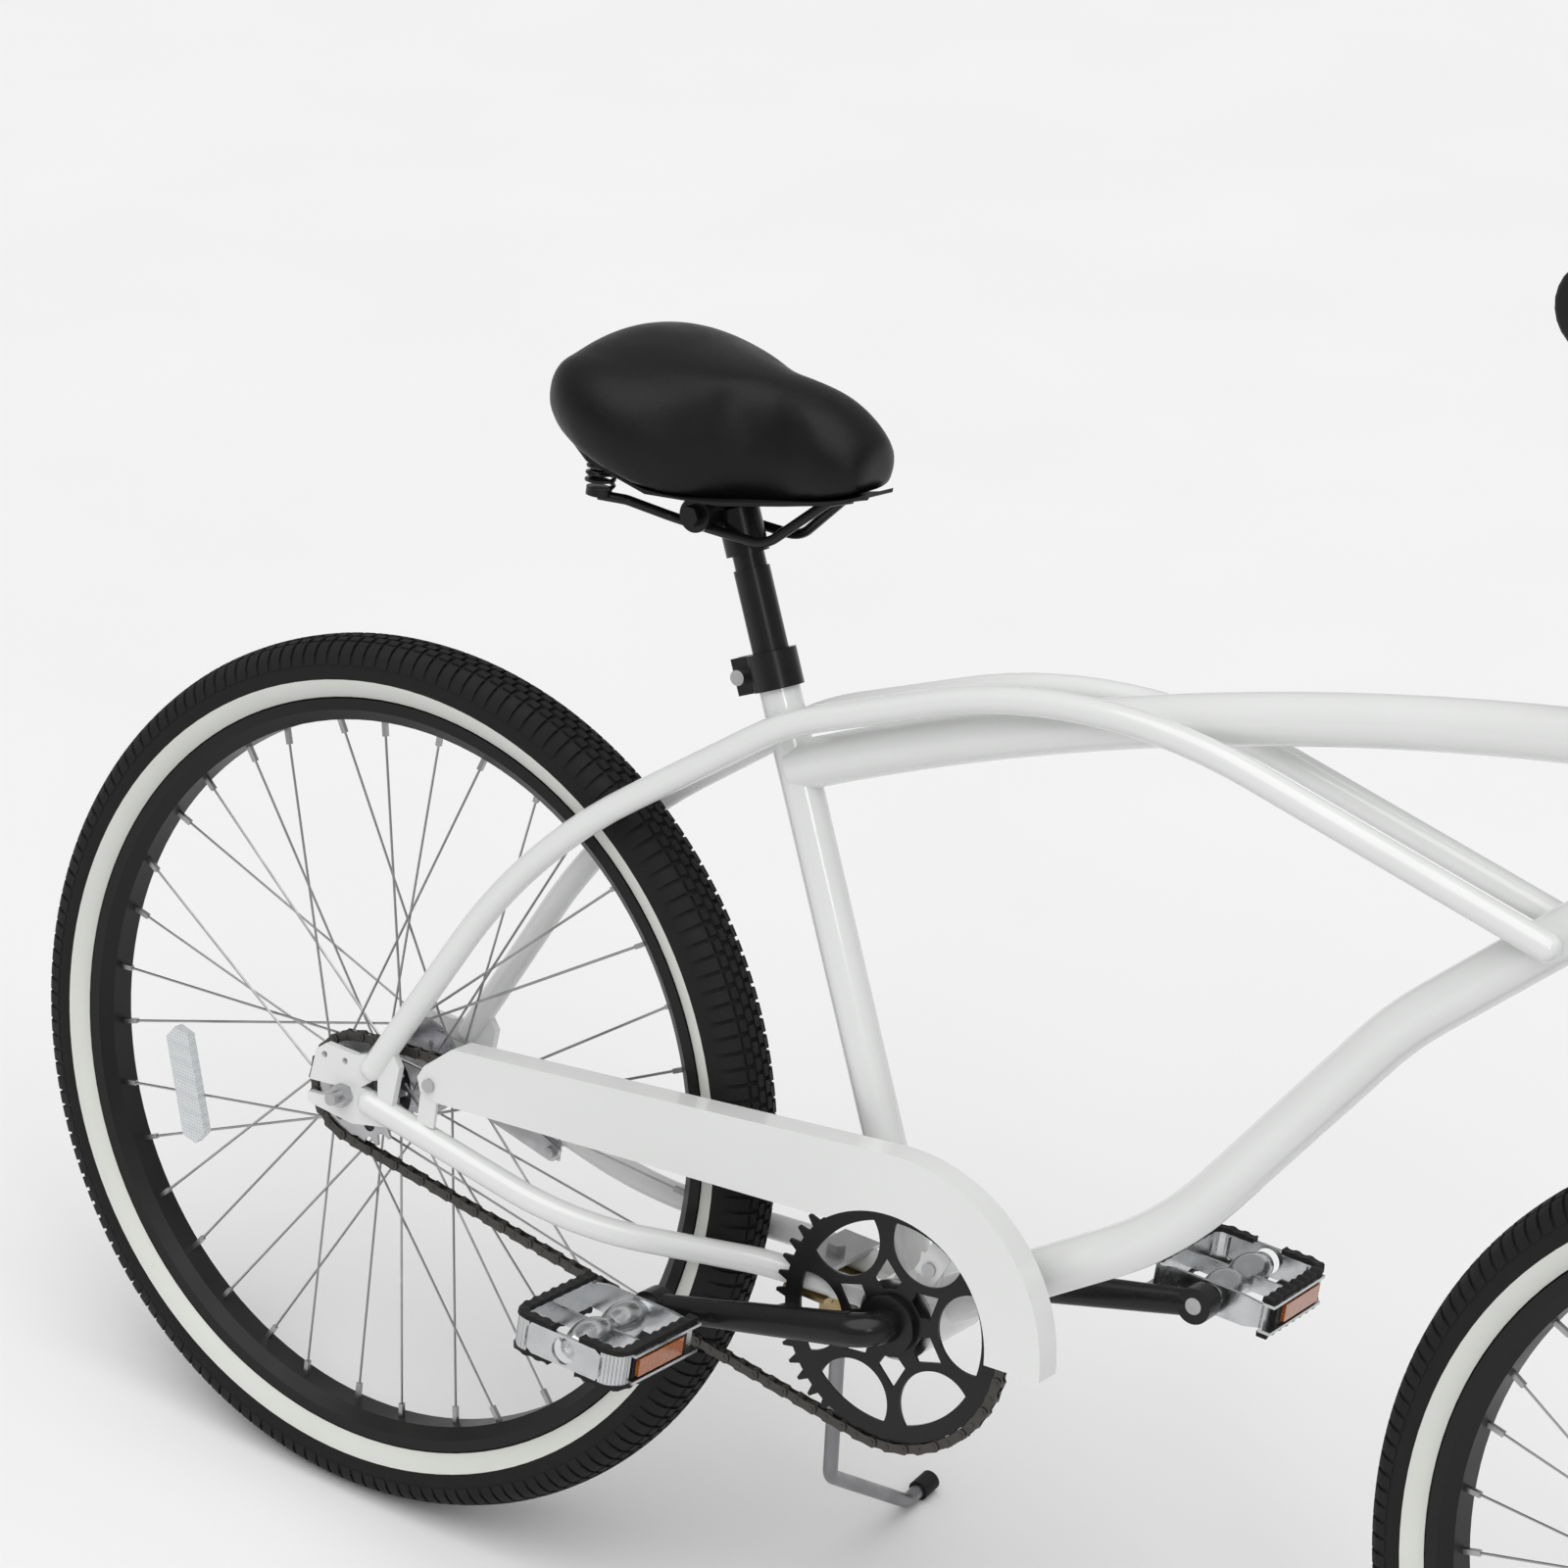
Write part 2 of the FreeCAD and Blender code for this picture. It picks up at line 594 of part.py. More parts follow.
def chain_pins():
    """Where the chain's pins lie: round the sprocket, along the top, round the chainring and back."""
    slope = math.atan2(BB.z - REAR.z, BB.x - REAR.x)
    lean = math.asin((RING_PITCH_RADIUS - COG_PITCH_RADIUS) / CENTRES)
    run = CENTRES * math.cos(lean)
    ring_arc = (math.pi + 2 * lean) * RING_TEETH * CHAIN_PITCH / (2 * math.pi)
    cog_arc = (math.pi - 2 * lean) * COG_TEETH * CHAIN_PITCH / (2 * math.pi)
    step = (2 * run + ring_arc + cog_arc) / CHAIN_LINKS
    top = math.pi / 2 + lean + slope
    low = -math.pi / 2 - lean + slope
    top_start = REAR + on_wheel(COG_PITCH_RADIUS, math.degrees(top), -CHAIN_LINE)
    low_start = BB + on_wheel(RING_PITCH_RADIUS, math.degrees(low), -CHAIN_LINE)
    along_top = (BB + on_wheel(RING_PITCH_RADIUS, math.degrees(top), -CHAIN_LINE) - top_start).normalize()
    along_low = (REAR + on_wheel(COG_PITCH_RADIUS, math.degrees(low), -CHAIN_LINE) - low_start).normalize()
    pins = []
    for link in range(CHAIN_LINKS):
        way = link * step
        if way < run:
            pins.append(top_start + along_top * way)
        elif way < run + ring_arc:
            angle = top - (way - run) / ring_arc * (math.pi + 2 * lean)
            pins.append(BB + on_wheel(RING_PITCH_RADIUS, math.degrees(angle), -CHAIN_LINE))
        elif way < 2 * run + ring_arc:
            pins.append(low_start + along_low * (way - run - ring_arc))
        else:
            angle = low - (way - 2 * run - ring_arc) / cog_arc * (math.pi - 2 * lean)
            pins.append(REAR + on_wheel(COG_PITCH_RADIUS, math.degrees(angle), -CHAIN_LINE))
    return pins, run, ring_arc, step


def link_plate(first, last, low):
    """One side plate of a link, from the low side outwards in Y."""
    along = (last - first).normalize()
    upward = along.cross(LEFT)
    half = CHAIN_PLATE_HEIGHT / 2
    flat = half * 0.45
    corners = []
    for point, sign in ((first, -1), (last, 1)):
        for forward, rise in ((flat, half), (half, flat), (half, -flat), (flat, -half)):
            corners.append(point + along * (sign * forward) + upward * (sign * rise) + LEFT * low)
    return prism(corners, LEFT * CHAIN_PLATE)


def roller(pin):
    corners = []
    for step in range(6):
        corners.append(pin + on_wheel(ROLLER_DIAMETER / 2, 60 * step, -CHAIN_INNER_WIDTH / 2))
    return prism(corners, LEFT * CHAIN_INNER_WIDTH)


def chain(pins):
    """Roller links and the plates that join them, as a closed loop of separate links."""
    inner = CHAIN_INNER_WIDTH / 2
    outer = inner + CHAIN_PLATE
    links = []
    for index, pin in enumerate(pins):
        following = pins[(index + 1) % len(pins)]
        if index % 2 == 0:
            plates = [link_plate(pin, following, inner), link_plate(pin, following, -outer)]
            links.append(plates[0].multiFuse([plates[1], roller(pin), roller(following)]))
        else:
            links.append(link_plate(pin, following, outer))
            links.append(link_plate(pin, following, -outer - CHAIN_PLATE))
    return links


def gap_angle(pins, centre, reach):
    """The angle of the first pin that lies on a sprocket of the given pitch radius."""
    for pin in pins:
        away = pin - centre + LEFT * CHAIN_LINE
        if abs(away.Length - reach) < 0.001:
            return math.atan2(away.z, away.x)
    return 0.0


# Bottom bracket, crank and pedals

def bb_cups():
    half = BB_SHELL_WIDTH / 2
    bore = BB_SHELL_RADIUS - BB_SHELL_WALL
    cup = across(BB, half - CUP_DEPTH, half, CUP_RACE_RADIUS, bore)
    lip = across(BB, half, half + CUP_LIP, CUP_RACE_RADIUS - 2, BB_SHELL_RADIUS)
    one = cup.fuse(lip)
    return [one, mirrored(one)]


def bb_bearings():
    half = BB_SHELL_WIDTH / 2
    one = across(BB, half - BEARING_WIDTH, half, CRANK_CONE_RADIUS + BEARING_FIT, CUP_RACE_RADIUS)
    return [one, mirrored(one)]


def crank_cones():
    """Both bearing cones on the spindle, and the nut that locks the left one."""
    inner = BB_SHELL_WIDTH / 2 - CUP_DEPTH
    ring_face = CHAIN_LINE - TOOTH_THICKNESS / 2
    lock_face = BB_SHELL_WIDTH / 2 + CUP_LIP + 1.5
    drive = across(BB, -ring_face, -inner, SPINDLE_RADIUS, CRANK_CONE_RADIUS)
    plain = across(BB, inner, lock_face, SPINDLE_RADIUS, CRANK_CONE_RADIUS)
    nut = hexagon(BB + LEFT * lock_face, LEFT, LOCKNUT_WIDTH, LOCKNUT_HEIGHT)
    nut = nut.cut(bar(BB, BB + LEFT * (lock_face + LOCKNUT_HEIGHT + 1), SPINDLE_RADIUS))
    return [drive, plain, nut]


def crank_section(centre, along, in_plane, thick):
    """An oval section of a crank arm."""
    oval = Part.Ellipse(Vector(), in_plane, thick).toShape()
    upright = along.cross(LEFT)
    oval.Placement = Placement(centre, Rotation(upright, LEFT, along, "ZXY"))
    return Part.Wire(oval)


def crank():
    """The one-piece crank: spindle, both elbows and both arms in a single forging."""
    elbow = CRANK_ROOT * 1.6
    body = bar(BB - LEFT * (CRANK_ELBOW - elbow), BB + LEFT * (CRANK_ELBOW - elbow), SPINDLE_RADIUS)
    flange_start = CHAIN_LINE + TOOTH_THICKNESS / 2
    body = body.fuse(bar(BB - LEFT * (flange_start + 5), BB - LEFT * flange_start, CRANK_ROOT * 1.7))
    for side in (-1, 1):
        along = CRANK_LINE if side < 0 else CRANK_LINE * -1
        centre = BB + LEFT * (side * CRANK_ELBOW)
        eye = BB + along * CRANK_LENGTH + LEFT * (side * CRANK_EYE)
        out = (eye - centre).normalize()
        path = bent([BB + LEFT * (side * (CRANK_ELBOW - elbow)), centre, centre + out * elbow], [elbow * 0.98])
        body = body.fuse(pipe(path, SPINDLE_RADIUS))
        root = crank_section(centre + out * elbow * 0.9, out, CRANK_ROOT, SPINDLE_RADIUS * 0.85)
        tip = crank_section(eye, out, CRANK_TIP, SPINDLE_RADIUS * 0.62)
        body = body.fuse(Part.makeLoft([root, tip], True))
        half = CRANK_EYE_WIDTH / 2
        body = body.fuse(bar(eye - LEFT * half, eye + LEFT * half, CRANK_EYE_RADIUS))
    for side in (-1, 1):
        along = CRANK_LINE if side < 0 else CRANK_LINE * -1
        eye = BB + along * CRANK_LENGTH + LEFT * (side * CRANK_EYE)
        body = body.cut(bar(eye - LEFT * CRANK_EYE_WIDTH, eye + LEFT * CRANK_EYE_WIDTH, PEDAL_AXLE_RADIUS))
    return body.removeSplitter()


def pedal_eye(side):
    along = CRANK_LINE if side < 0 else CRANK_LINE * -1
    return BB + along * CRANK_LENGTH + LEFT * (side * CRANK_EYE)


def pedal_axle(side):
    eye = pedal_eye(side)
    outward = LEFT * side
    start = eye - outward * (CRANK_EYE_WIDTH / 2)
    face = eye + outward * (CRANK_EYE_WIDTH / 2)
    end = face + outward * (PEDAL_GAP + PEDAL_WIDTH - 2 * PEDAL_PLATE)
    collar = bar(face, face + outward * (PEDAL_GAP - 1), PEDAL_AXLE_RADIUS + 3)
    return bar(start, end, PEDAL_AXLE_RADIUS).fuse(collar)


def pedal_body(side):
    """Cage of two rails and two end plates round a barrel with two swellings."""
    inner = CRANK_EYE_WIDTH / 2 + PEDAL_GAP
    half = PEDAL_LENGTH / 2
    deep = PEDAL_DEPTH / 2
    body = bar(LEFT * inner, LEFT * (inner + PEDAL_WIDTH), PEDAL_BARREL_RADIUS - 2)
    for share in (0.22, 0.72):
        start = inner + PEDAL_WIDTH * share - 9
        body = body.fuse(bar(LEFT * start, LEFT * (start + 18), PEDAL_BARREL_RADIUS))
    for end in (inner, inner + PEDAL_WIDTH - PEDAL_PLATE):
        nose = deep * 0.55
        corners = [(-half, nose), (-half + 8, deep), (half - 8, deep), (half, nose)]
        corners += [(x, -z) for x, z in reversed(corners)]
        body = body.fuse(prism([Vector(x, end, z) for x, z in corners], LEFT * PEDAL_PLATE))
    for front in (-1, 1):
        outer = front * half
        inside = front * (half - PEDAL_RAIL)
        corners = [(outer, deep * 0.55), (inside, deep), (inside, -deep), (outer, -deep * 0.55)]
        body = body.fuse(prism([Vector(x, inner, z) for x, z in corners], LEFT * PEDAL_WIDTH))
    bore = bar(LEFT * (inner - 1), LEFT * (inner + PEDAL_WIDTH - PEDAL_PLATE), PEDAL_AXLE_RADIUS + PEDAL_FIT)
    body = body.cut(bore)
    if side < 0:
        body = mirrored(body)
    body.translate(pedal_eye(side))
    return body


def pedal_treads(side):
    """Four ribbed rubber strips on the top and bottom edges of the rails."""
    inner = CRANK_EYE_WIDTH / 2 + PEDAL_GAP
    half = PEDAL_LENGTH / 2
    deep = PEDAL_DEPTH / 2
    strips = []
    for front in (-1, 1):
        for top in (-1, 1):
            low = Vector(front * (half - PEDAL_RAIL), inner, top * deep)
            inward = Vector(-front * PEDAL_RAIL, 0, 0)
            rise = Vector(0, 0, top * TREAD_STRIP)
            outline = [low, low + inward, low + inward + rise, low + rise]
            strips.append(prism(outline, LEFT * PEDAL_WIDTH))
    if side < 0:
        strips = [mirrored(strip) for strip in strips]
    for strip in strips:
        strip.translate(pedal_eye(side))
    return strips


def pedal_reflectors(side):
    middle = CRANK_EYE_WIDTH / 2 + PEDAL_GAP + PEDAL_WIDTH / 2
    lenses = []
    for front in (-1, 1):
        low = Vector(front * PEDAL_LENGTH / 2, middle - PEDAL_REFLECTOR_LENGTH / 2, -PEDAL_REFLECTOR_HEIGHT / 2)
        deep = Vector(front * PEDAL_REFLECTOR_DEPTH, 0, 0)
        tall = Vector(0, 0, PEDAL_REFLECTOR_HEIGHT)
        lenses.append(prism([low, low + deep, low + deep + tall, low + tall], LEFT * PEDAL_REFLECTOR_LENGTH))
    if side < 0:
        lenses = [mirrored(lens) for lens in lenses]
    for lens in lenses:
        lens.translate(pedal_eye(side))
    return lenses


# Frame

def bb_shell():
    half = BB_SHELL_WIDTH / 2
    shell = across(BB, -half, half, BB_SHELL_RADIUS - BB_SHELL_WALL, BB_SHELL_RADIUS)
    lug_x = BB.x + 11
    guard_back = GUARD_PLANE - GUARD_FLANGE
    foot = Part.makeBox(18, 10, 16, Vector(lug_x, -half, BB.z + 20))
    upright = Part.makeBox(18, guard_back - half, 26, Vector(lug_x, -guard_back, BB.z + 30))
    return shell.fuse(foot.fuse(upright).cut(bar(BB - LEFT * half, BB + LEFT * half, BB_SHELL_RADIUS - 1)))


def bb_blank():
    return bar(BB - LEFT * (BB_SHELL_WIDTH / 2), BB + LEFT * (BB_SHELL_WIDTH / 2), BB_SHELL_RADIUS)


def seat_tube():
    outer = bar(BB, SEAT_TOP, SEAT_TUBE_RADIUS)
    return outer.cut(bar(BB, SEAT_TOP, SEAT_BORE)).cut(bb_blank())


def head_tube():
    return ring(steered(HEAD_TUBE_LOW), steered(HEAD_TUBE_HIGH), HEAD_TUBE_RADIUS - HEAD_TUBE_WALL, HEAD_TUBE_RADIUS)


def head_blank():
    return bar(steered(HEAD_TUBE_LOW), steered(HEAD_TUBE_HIGH), HEAD_TUBE_RADIUS)


def top_tube_path():
    start = SEAT_TOP - SEAT_LINE * TOP_TUBE_START
    middle = start + Vector(TOP_TUBE_RUN, 0, TOP_TUBE_RISE)
    end = steered(TOP_TUBE_JOINT)
    return Part.Wire(Part.Arc(start, middle, end).toShape())


def top_tube():
    tube = hollow(top_tube_path(), MAIN_TUBE_RADIUS, MAIN_TUBE_WALL)
    return tube.cut(bar(BB, SEAT_TOP, SEAT_TUBE_RADIUS)).cut(head_blank())


def down_tube_path():
    points = [BB + Vector(10, 0, 5), behind(640, 105), behind(770, 298), steered(DOWN_TUBE_JOINT)]
    return bent(points, [DOWN_TUBE_BEND, DOWN_TUBE_BEND])


def down_tube():
    tube = hollow(down_tube_path(), MAIN_TUBE_RADIUS, MAIN_TUBE_WALL)
    return tube.cut(bb_blank()).cut(head_blank())


def stringer_path():
    points = [behind(21, 27, DROPOUT_PLANE), behind(126, 229, 50), behind(304, 369, STRINGER_SIDE)]
    points += [behind(525, 462, STRINGER_SIDE), behind(862, 387, STRINGER_SIDE)]
    return bent(points, [430, 190, 400])


def stringer(dropout):
    path = stringer_path()
    tip = path.Edges[-1].valueAt(path.Edges[-1].LastParameter)
    toe = path.Edges[0].valueAt(path.Edges[0].FirstParameter)
    tube = hollow(path, STAY_RADIUS, STAY_WALL)
    for end in (tip, toe):
        dome = Part.makeSphere(STAY_RADIUS, end)
        tube = tube.fuse(dome.cut(pipe(path, STAY_RADIUS)))
    tube = tube.cut(pipe(top_tube_path(), MAIN_TUBE_RADIUS)).cut(pipe(down_tube_path(), MAIN_TUBE_RADIUS))
    return tube.cut(dropout)


def chainstay_path():
    points = [behind(22, 0, DROPOUT_PLANE), behind(205, -34, 49), behind(355, -12, 31.0), behind(452, -8, 23.0)]
    return bent(points, [350, 250])


def chainstay(dropout):
    path = chainstay_path()
    toe = path.Edges[0].valueAt(path.Edges[0].FirstParameter)
    tube = hollow(path, STAY_RADIUS, STAY_WALL)
    dome = Part.makeSphere(STAY_RADIUS, toe).cut(pipe(path, STAY_RADIUS))
    return tube.fuse(dome).cut(bb_blank()).cut(dropout)


def dropout():
    """The left dropout: a plate with the axle slot, two eyelets and a lightening hole."""
    y = REAR_FACE
    outline = [(-34, -6), (-30, 26), (-22, 33), (6, 33), (38, 46), (46, 36), (42, -12), (10, -20), (-32, -17)]
    plate = prism([behind(x, z, y) for x, z in outline], LEFT * DROPOUT_THICKNESS)
    slot_half = AXLE_DIAMETER / 2 + 0.3
    slot = [(0, slot_half), (-40, slot_half - 5), (-40, -slot_half - 5), (0, -slot_half)]
    depth = LEFT * (DROPOUT_THICKNESS + 2)
    plate = plate.cut(prism([behind(x, z, y - 1) for x, z in slot], depth))
    plate = plate.cut(bar(behind(0, 0, y - 1), behind(0, 0, y - 1) + depth, slot_half))
    for x, z in REAR_EYELETS:
        plate = plate.cut(bar(behind(x, z, y - 1), behind(x, z, y - 1) + depth, EYELET_RADIUS))
    window = [(14, 10), (28, 22), (30, 8)]
    return plate.cut(prism([behind(x, z, y - 1) for x, z in window], depth))


def guard_tab():
    """The tab on the right chainstay that carries the tail of the chain guard."""
    back = GUARD_PLANE - GUARD_SHEET
    corners = [(66, 0), (66, 36), (70, 41), (77, 41), (81, 36), (81, 0)]
    tab = prism([behind(x, z, -back) for x, z in corners], LEFT * 3)
    path = chainstay_path()
    return tab.cut(mirrored(pipe(path, STAY_RADIUS)))


def headset_cups():
    """Both cups pressed on to the head tube's ends, with their ball rings."""
    pieces = []
    for end, away in ((HEAD_TUBE_LOW, -1), (HEAD_TUBE_HIGH, 1)):
        face = steered(end)
        outer = steered(end + away * HEADSET_STACK)
        cup = ring(face, outer, HEADSET_RACE_RADIUS, HEADSET_RADIUS)
        balls = ring(face, outer, STEERER_RADIUS + BEARING_FIT, HEADSET_RACE_RADIUS)
        pieces += [cup, balls]
    return pieces


def seat_clamp():
    """The collar round the seat tube's top, split at the back between two ears."""
    bottom = SEAT_TOP - SEAT_LINE * (CLAMP_HEIGHT - 2)
    top = SEAT_TOP + SEAT_LINE * 2
    outer = SEAT_TUBE_RADIUS + CLAMP_WALL
    back = Vector(-SEAT_LINE.z, 0, SEAT_LINE.x)
    collar = ring(bottom, SEAT_TOP, SEAT_TUBE_RADIUS, outer)
    lip = ring(SEAT_TOP, top, SEAT_BORE + 0.3, outer)
    start = bottom + back * (outer - 2) - LEFT * (CLAMP_GAP / 2 + 5)
    ear = prism([start, start + back * 14, start + back * 14 + SEAT_LINE * CLAMP_HEIGHT, start + SEAT_LINE * CLAMP_HEIGHT],
                LEFT * (CLAMP_GAP + 10))
    slit_start = bottom - SEAT_LINE + back * (SEAT_TUBE_RADIUS - 4) - LEFT * (CLAMP_GAP / 2)
    slit = prism([slit_start, slit_start + back * 40, slit_start + back * 40 + SEAT_LINE * (CLAMP_HEIGHT + 4),
                  slit_start + SEAT_LINE * (CLAMP_HEIGHT + 4)], LEFT * CLAMP_GAP)
    hole = clamp_bolt_line()
    body = collar.fuse(lip).fuse(ear.cut(bar(bottom, top, outer - 1))).cut(slit)
    return body.cut(bar(hole - LEFT * 20, hole + LEFT * 20, 3.0))


def clamp_bolt_line():
    back = Vector(-SEAT_LINE.z, 0, SEAT_LINE.x)
    return SEAT_TOP - SEAT_LINE * (CLAMP_HEIGHT / 2 - 2) + back * (SEAT_TUBE_RADIUS + CLAMP_WALL + 6)


def clamp_bolt():
    hole = clamp_bolt_line()
    reach = CLAMP_GAP / 2 + 5
    shank = bar(hole - LEFT * reach, hole + LEFT * (reach + 6), 3.0)
    head = bar(hole - LEFT * (reach + 6), hole - LEFT * reach, 5.5)
    nut = hexagon(hole + LEFT * reach, LEFT, 10, 5)
    return shank.fuse(head).fuse(nut)


# Chain guard

def guard_tangent():
    """Where the straight top edge runs on to the round front."""
    tail = behind(89, 65)
    gap = BB - tail
    lift = math.asin(GUARD_RADIUS / gap.Length)
    heading = math.atan2(gap.z, gap.x) + lift
    return math.degrees(heading) + 90.0, heading


def guard_strip(outer, inner, start_angle, end_angle, y, depth):
    """An arched strip between two radii round the bottom bracket."""
    centre = Vector(BB.x, y, BB.z)
    middle = (start_angle + end_angle) / 2
    points = []
    for radius in (outer, inner):
        points.append([centre + on_wheel(radius, angle, 0) for angle in (start_angle, middle, end_angle)])
    edges = [Part.Arc(*points[0]).toShape(), Part.LineSegment(points[0][2], points[1][2]).toShape()]
    edges += [Part.Arc(*reversed(points[1])).toShape(), Part.LineSegment(points[1][0], points[0][0]).toShape()]
    return Part.Face(Part.Wire(edges)).extrude(LEFT * depth)


def guard_screw_points():
    """Tail screw on the chainstay tab, and front screw on the shell's lug."""
    return behind(73.5, 32), BB + Vector(20, 0, 46)


def chain_guard():
    """A sheet over the chain with a folded edge, a round front, a tail ear and an inner lug."""
    start, heading = guard_tangent()
    plane = -GUARD_PLANE
    face = Vector(0, plane, 0)
    tangent = BB + on_wheel(GUARD_RADIUS, start, 0)
    tail = behind(89, 65)
    screw, front_screw = guard_screw_points()
    inner_high = BB + on_wheel(GUARD_CUTOUT, 130, 0)
    front = guard_strip(GUARD_RADIUS, GUARD_CUTOUT, GUARD_FRONT_ANGLE, start, plane, GUARD_SHEET)
    edge = [tail, tangent, BB + on_wheel(GUARD_CUTOUT, start, 0), inner_high, behind(82, 21), behind(66, 25)]
    edge += [behind(62, 35), behind(67, 45)]
    body = prism([point + face for point in edge], LEFT * GUARD_SHEET)
    body = body.cut(Part.makeCylinder(GUARD_CUTOUT, 4, BB - LEFT * (GUARD_PLANE + 1), LEFT)).fuse(front)
    fold = guard_strip(GUARD_RADIUS, GUARD_RADIUS - GUARD_SHEET, GUARD_FRONT_ANGLE, start, plane, GUARD_FLANGE)
    inward = on_wheel(GUARD_SHEET, start + 180, 0)
    top = prism([point + face for point in (tail, tangent, tangent + inward, tail + inward)], LEFT * GUARD_FLANGE)
    lug_plane = Vector(0, plane + GUARD_FLANGE - GUARD_SHEET, 0)
    lug_angle = math.degrees(math.atan2(front_screw.z - BB.z, front_screw.x - BB.x))
    outward = on_wheel(1, lug_angle, 0)
    sideways = outward.cross(LEFT)
    lug_end = BB + outward * (GUARD_RADIUS - GUARD_SHEET / 2)
    lug_start = front_screw - outward * 9
    corners = [lug_start + sideways * 9, lug_end + sideways * 9, lug_end - sideways * 9, lug_start - sideways * 9]
    lug = prism([point + lug_plane for point in corners], LEFT * GUARD_SHEET)
    body = body.fuse(fold).fuse(top).fuse(lug)
    for point in (screw, front_screw):
        body = body.cut(bar(point - LEFT * (GUARD_PLANE + 5), point - LEFT * 20, GUARD_SCREW_RADIUS))
    return body


def guard_screws():
    tail, front = guard_screw_points()
    screws = []
    for point, seat in ((tail, GUARD_PLANE), (front, GUARD_PLANE - GUARD_FLANGE + GUARD_SHEET)):
        head = bar(point - LEFT * (seat + 2.5), point - LEFT * seat, GUARD_HEAD_RADIUS)
        screws.append(head.fuse(bar(point - LEFT * seat, point - LEFT * (seat - GUARD_SHEET), GUARD_SCREW_RADIUS)))
    return screws


# Coaster brake arm on the left

def brake_arm():
    low = REAR + LEFT * BRAKE_ARM_PLANE
    end = low + Vector(BRAKE_ARM_REACH, 0, -BRAKE_ARM_DROP)
    along = (end - low).normalize()
    side = along.cross(LEFT)
    depth = LEFT * BRAKE_ARM_THICKNESS
    web = prism([low + side * 14, end + side * 7, end - side * 7, low - side * 14], depth)
    body = web.fuse(bar(low, low + depth, 20)).fuse(bar(end, end + depth, 7))
    body = body.cut(bar(low - LEFT, low + depth + LEFT, AXLE_DIAMETER / 2))
    return body.cut(bar(end - LEFT, end + depth + LEFT, 2.5))


def stay_at(x):
    """The chainstay's centre at a distance in front of the rear axle."""
    path = chainstay_path()
    plane = Part.makePlane(400, 400, Vector(REAR.x + x, -100, REAR.z - 200), Vector(1, 0, 0), LEFT)
    return path.distToShape(plane)[1][0][0]


def brake_clip():
    """A sheet strap round the left chainstay with an ear for the arm's bolt."""
    middle = stay_at(BRAKE_ARM_REACH)
    ahead = stay_at(BRAKE_ARM_REACH + 2)
    along = (ahead - middle).normalize()
    start = middle - along * (CLIP_WIDTH / 2)
    end = middle + along * (CLIP_WIDTH / 2)
    strap = ring(start, end, STAY_RADIUS, STAY_RADIUS + CLIP_SHEET)
    ear_y = BRAKE_ARM_PLANE + BRAKE_ARM_THICKNESS
    x = REAR.x + BRAKE_ARM_REACH
    low = REAR.z - BRAKE_ARM_DROP
    corners = [(x - CLIP_WIDTH / 2, low - 6), (x + CLIP_WIDTH / 2, low - 6), (x + CLIP_WIDTH / 2, middle.z)]
    corners.append((x - CLIP_WIDTH / 2, middle.z))
    ear = prism([Vector(a, ear_y, b) for a, b in corners], LEFT * CLIP_SHEET)
    ear = ear.cut(bar(start - along * 9, end + along * 9, STAY_RADIUS + 0.2))
    bolt = Vector(x, ear_y, low)
    return strap.fuse(ear).cut(bar(bolt - LEFT, bolt + LEFT * 9, 2.5))


def brake_bolt():
    start = Vector(REAR.x + BRAKE_ARM_REACH, BRAKE_ARM_PLANE, REAR.z - BRAKE_ARM_DROP)
    end = start + LEFT * (BRAKE_ARM_THICKNESS + CLIP_SHEET)
    shank = bar(start, end, 2.5)
    return shank.fuse(bar(start - LEFT * 3.5, start, 4.5)).fuse(hexagon(end, LEFT, 8, 4))


# Seat

def seatpost():
    bottom = SEAT_TOP - SEAT_LINE * SEATPOST_INSERTION
    shoulder = SADDLE_POINT - SEAT_LINE * SEATPOST_NECK
    post = bar(bottom, shoulder, SEATPOST_DIAMETER / 2)
    return post.fuse(bar(shoulder, SADDLE_POINT + SEAT_LINE * 8, SEATPOST_NECK_RADIUS))


def saddle_clamp():
    """A barrel across the post, with toothed washers that grip the rails, and its through bolt."""
    half = SADDLE_CLAMP_WIDTH / 2
    neck = ring(SADDLE_POINT - SEAT_LINE * 24, SADDLE_POINT + SEAT_LINE * 8, SEATPOST_NECK_RADIUS, SEATPOST_NECK_RADIUS + 4)
    lift = SADDLE_POINT + Vector(-SADDLE_SETBACK, 0, 2)
    barrel = bar(lift - LEFT * half, lift + LEFT * half, SADDLE_CLAMP_RADIUS)
    body = neck.fuse(barrel.cut(bar(SADDLE_POINT - SEAT_LINE * 40, SADDLE_POINT + SEAT_LINE * 40, SEATPOST_NECK_RADIUS + 2)))
    for side in (-1, 1):
        rail = lift + LEFT * (side * RAIL_SPACING / 2) - UP * RAIL_DROP
        body = body.cut(bar(rail - Vector(60, 0, 0), rail + Vector(60, 0, 0), RAIL_RADIUS))
    body = body.cut(bar(lift - LEFT * (half + 1), lift + LEFT * (half + 1), 4.0))
    bolt = bar(lift - LEFT * (half + 7), lift + LEFT * (half + 7), 4.0)
    nuts = [hexagon(lift + LEFT * half, LEFT, 13, 7), hexagon(lift - LEFT * half, LEFT * -1, 13, 7)]
    return [body, bolt.fuse(nuts[0]).fuse(nuts[1])]


def saddle_spot(x, y, z):
    """A point given from the saddle clamp's barrel."""
    return SADDLE_POINT + Vector(x - SADDLE_SETBACK, y, z + 2)


def spring_seat():
    """The rail's height under the spring, counted from the clamp's barrel."""
    return RAIL_TAIL_RISE - RAIL_DROP


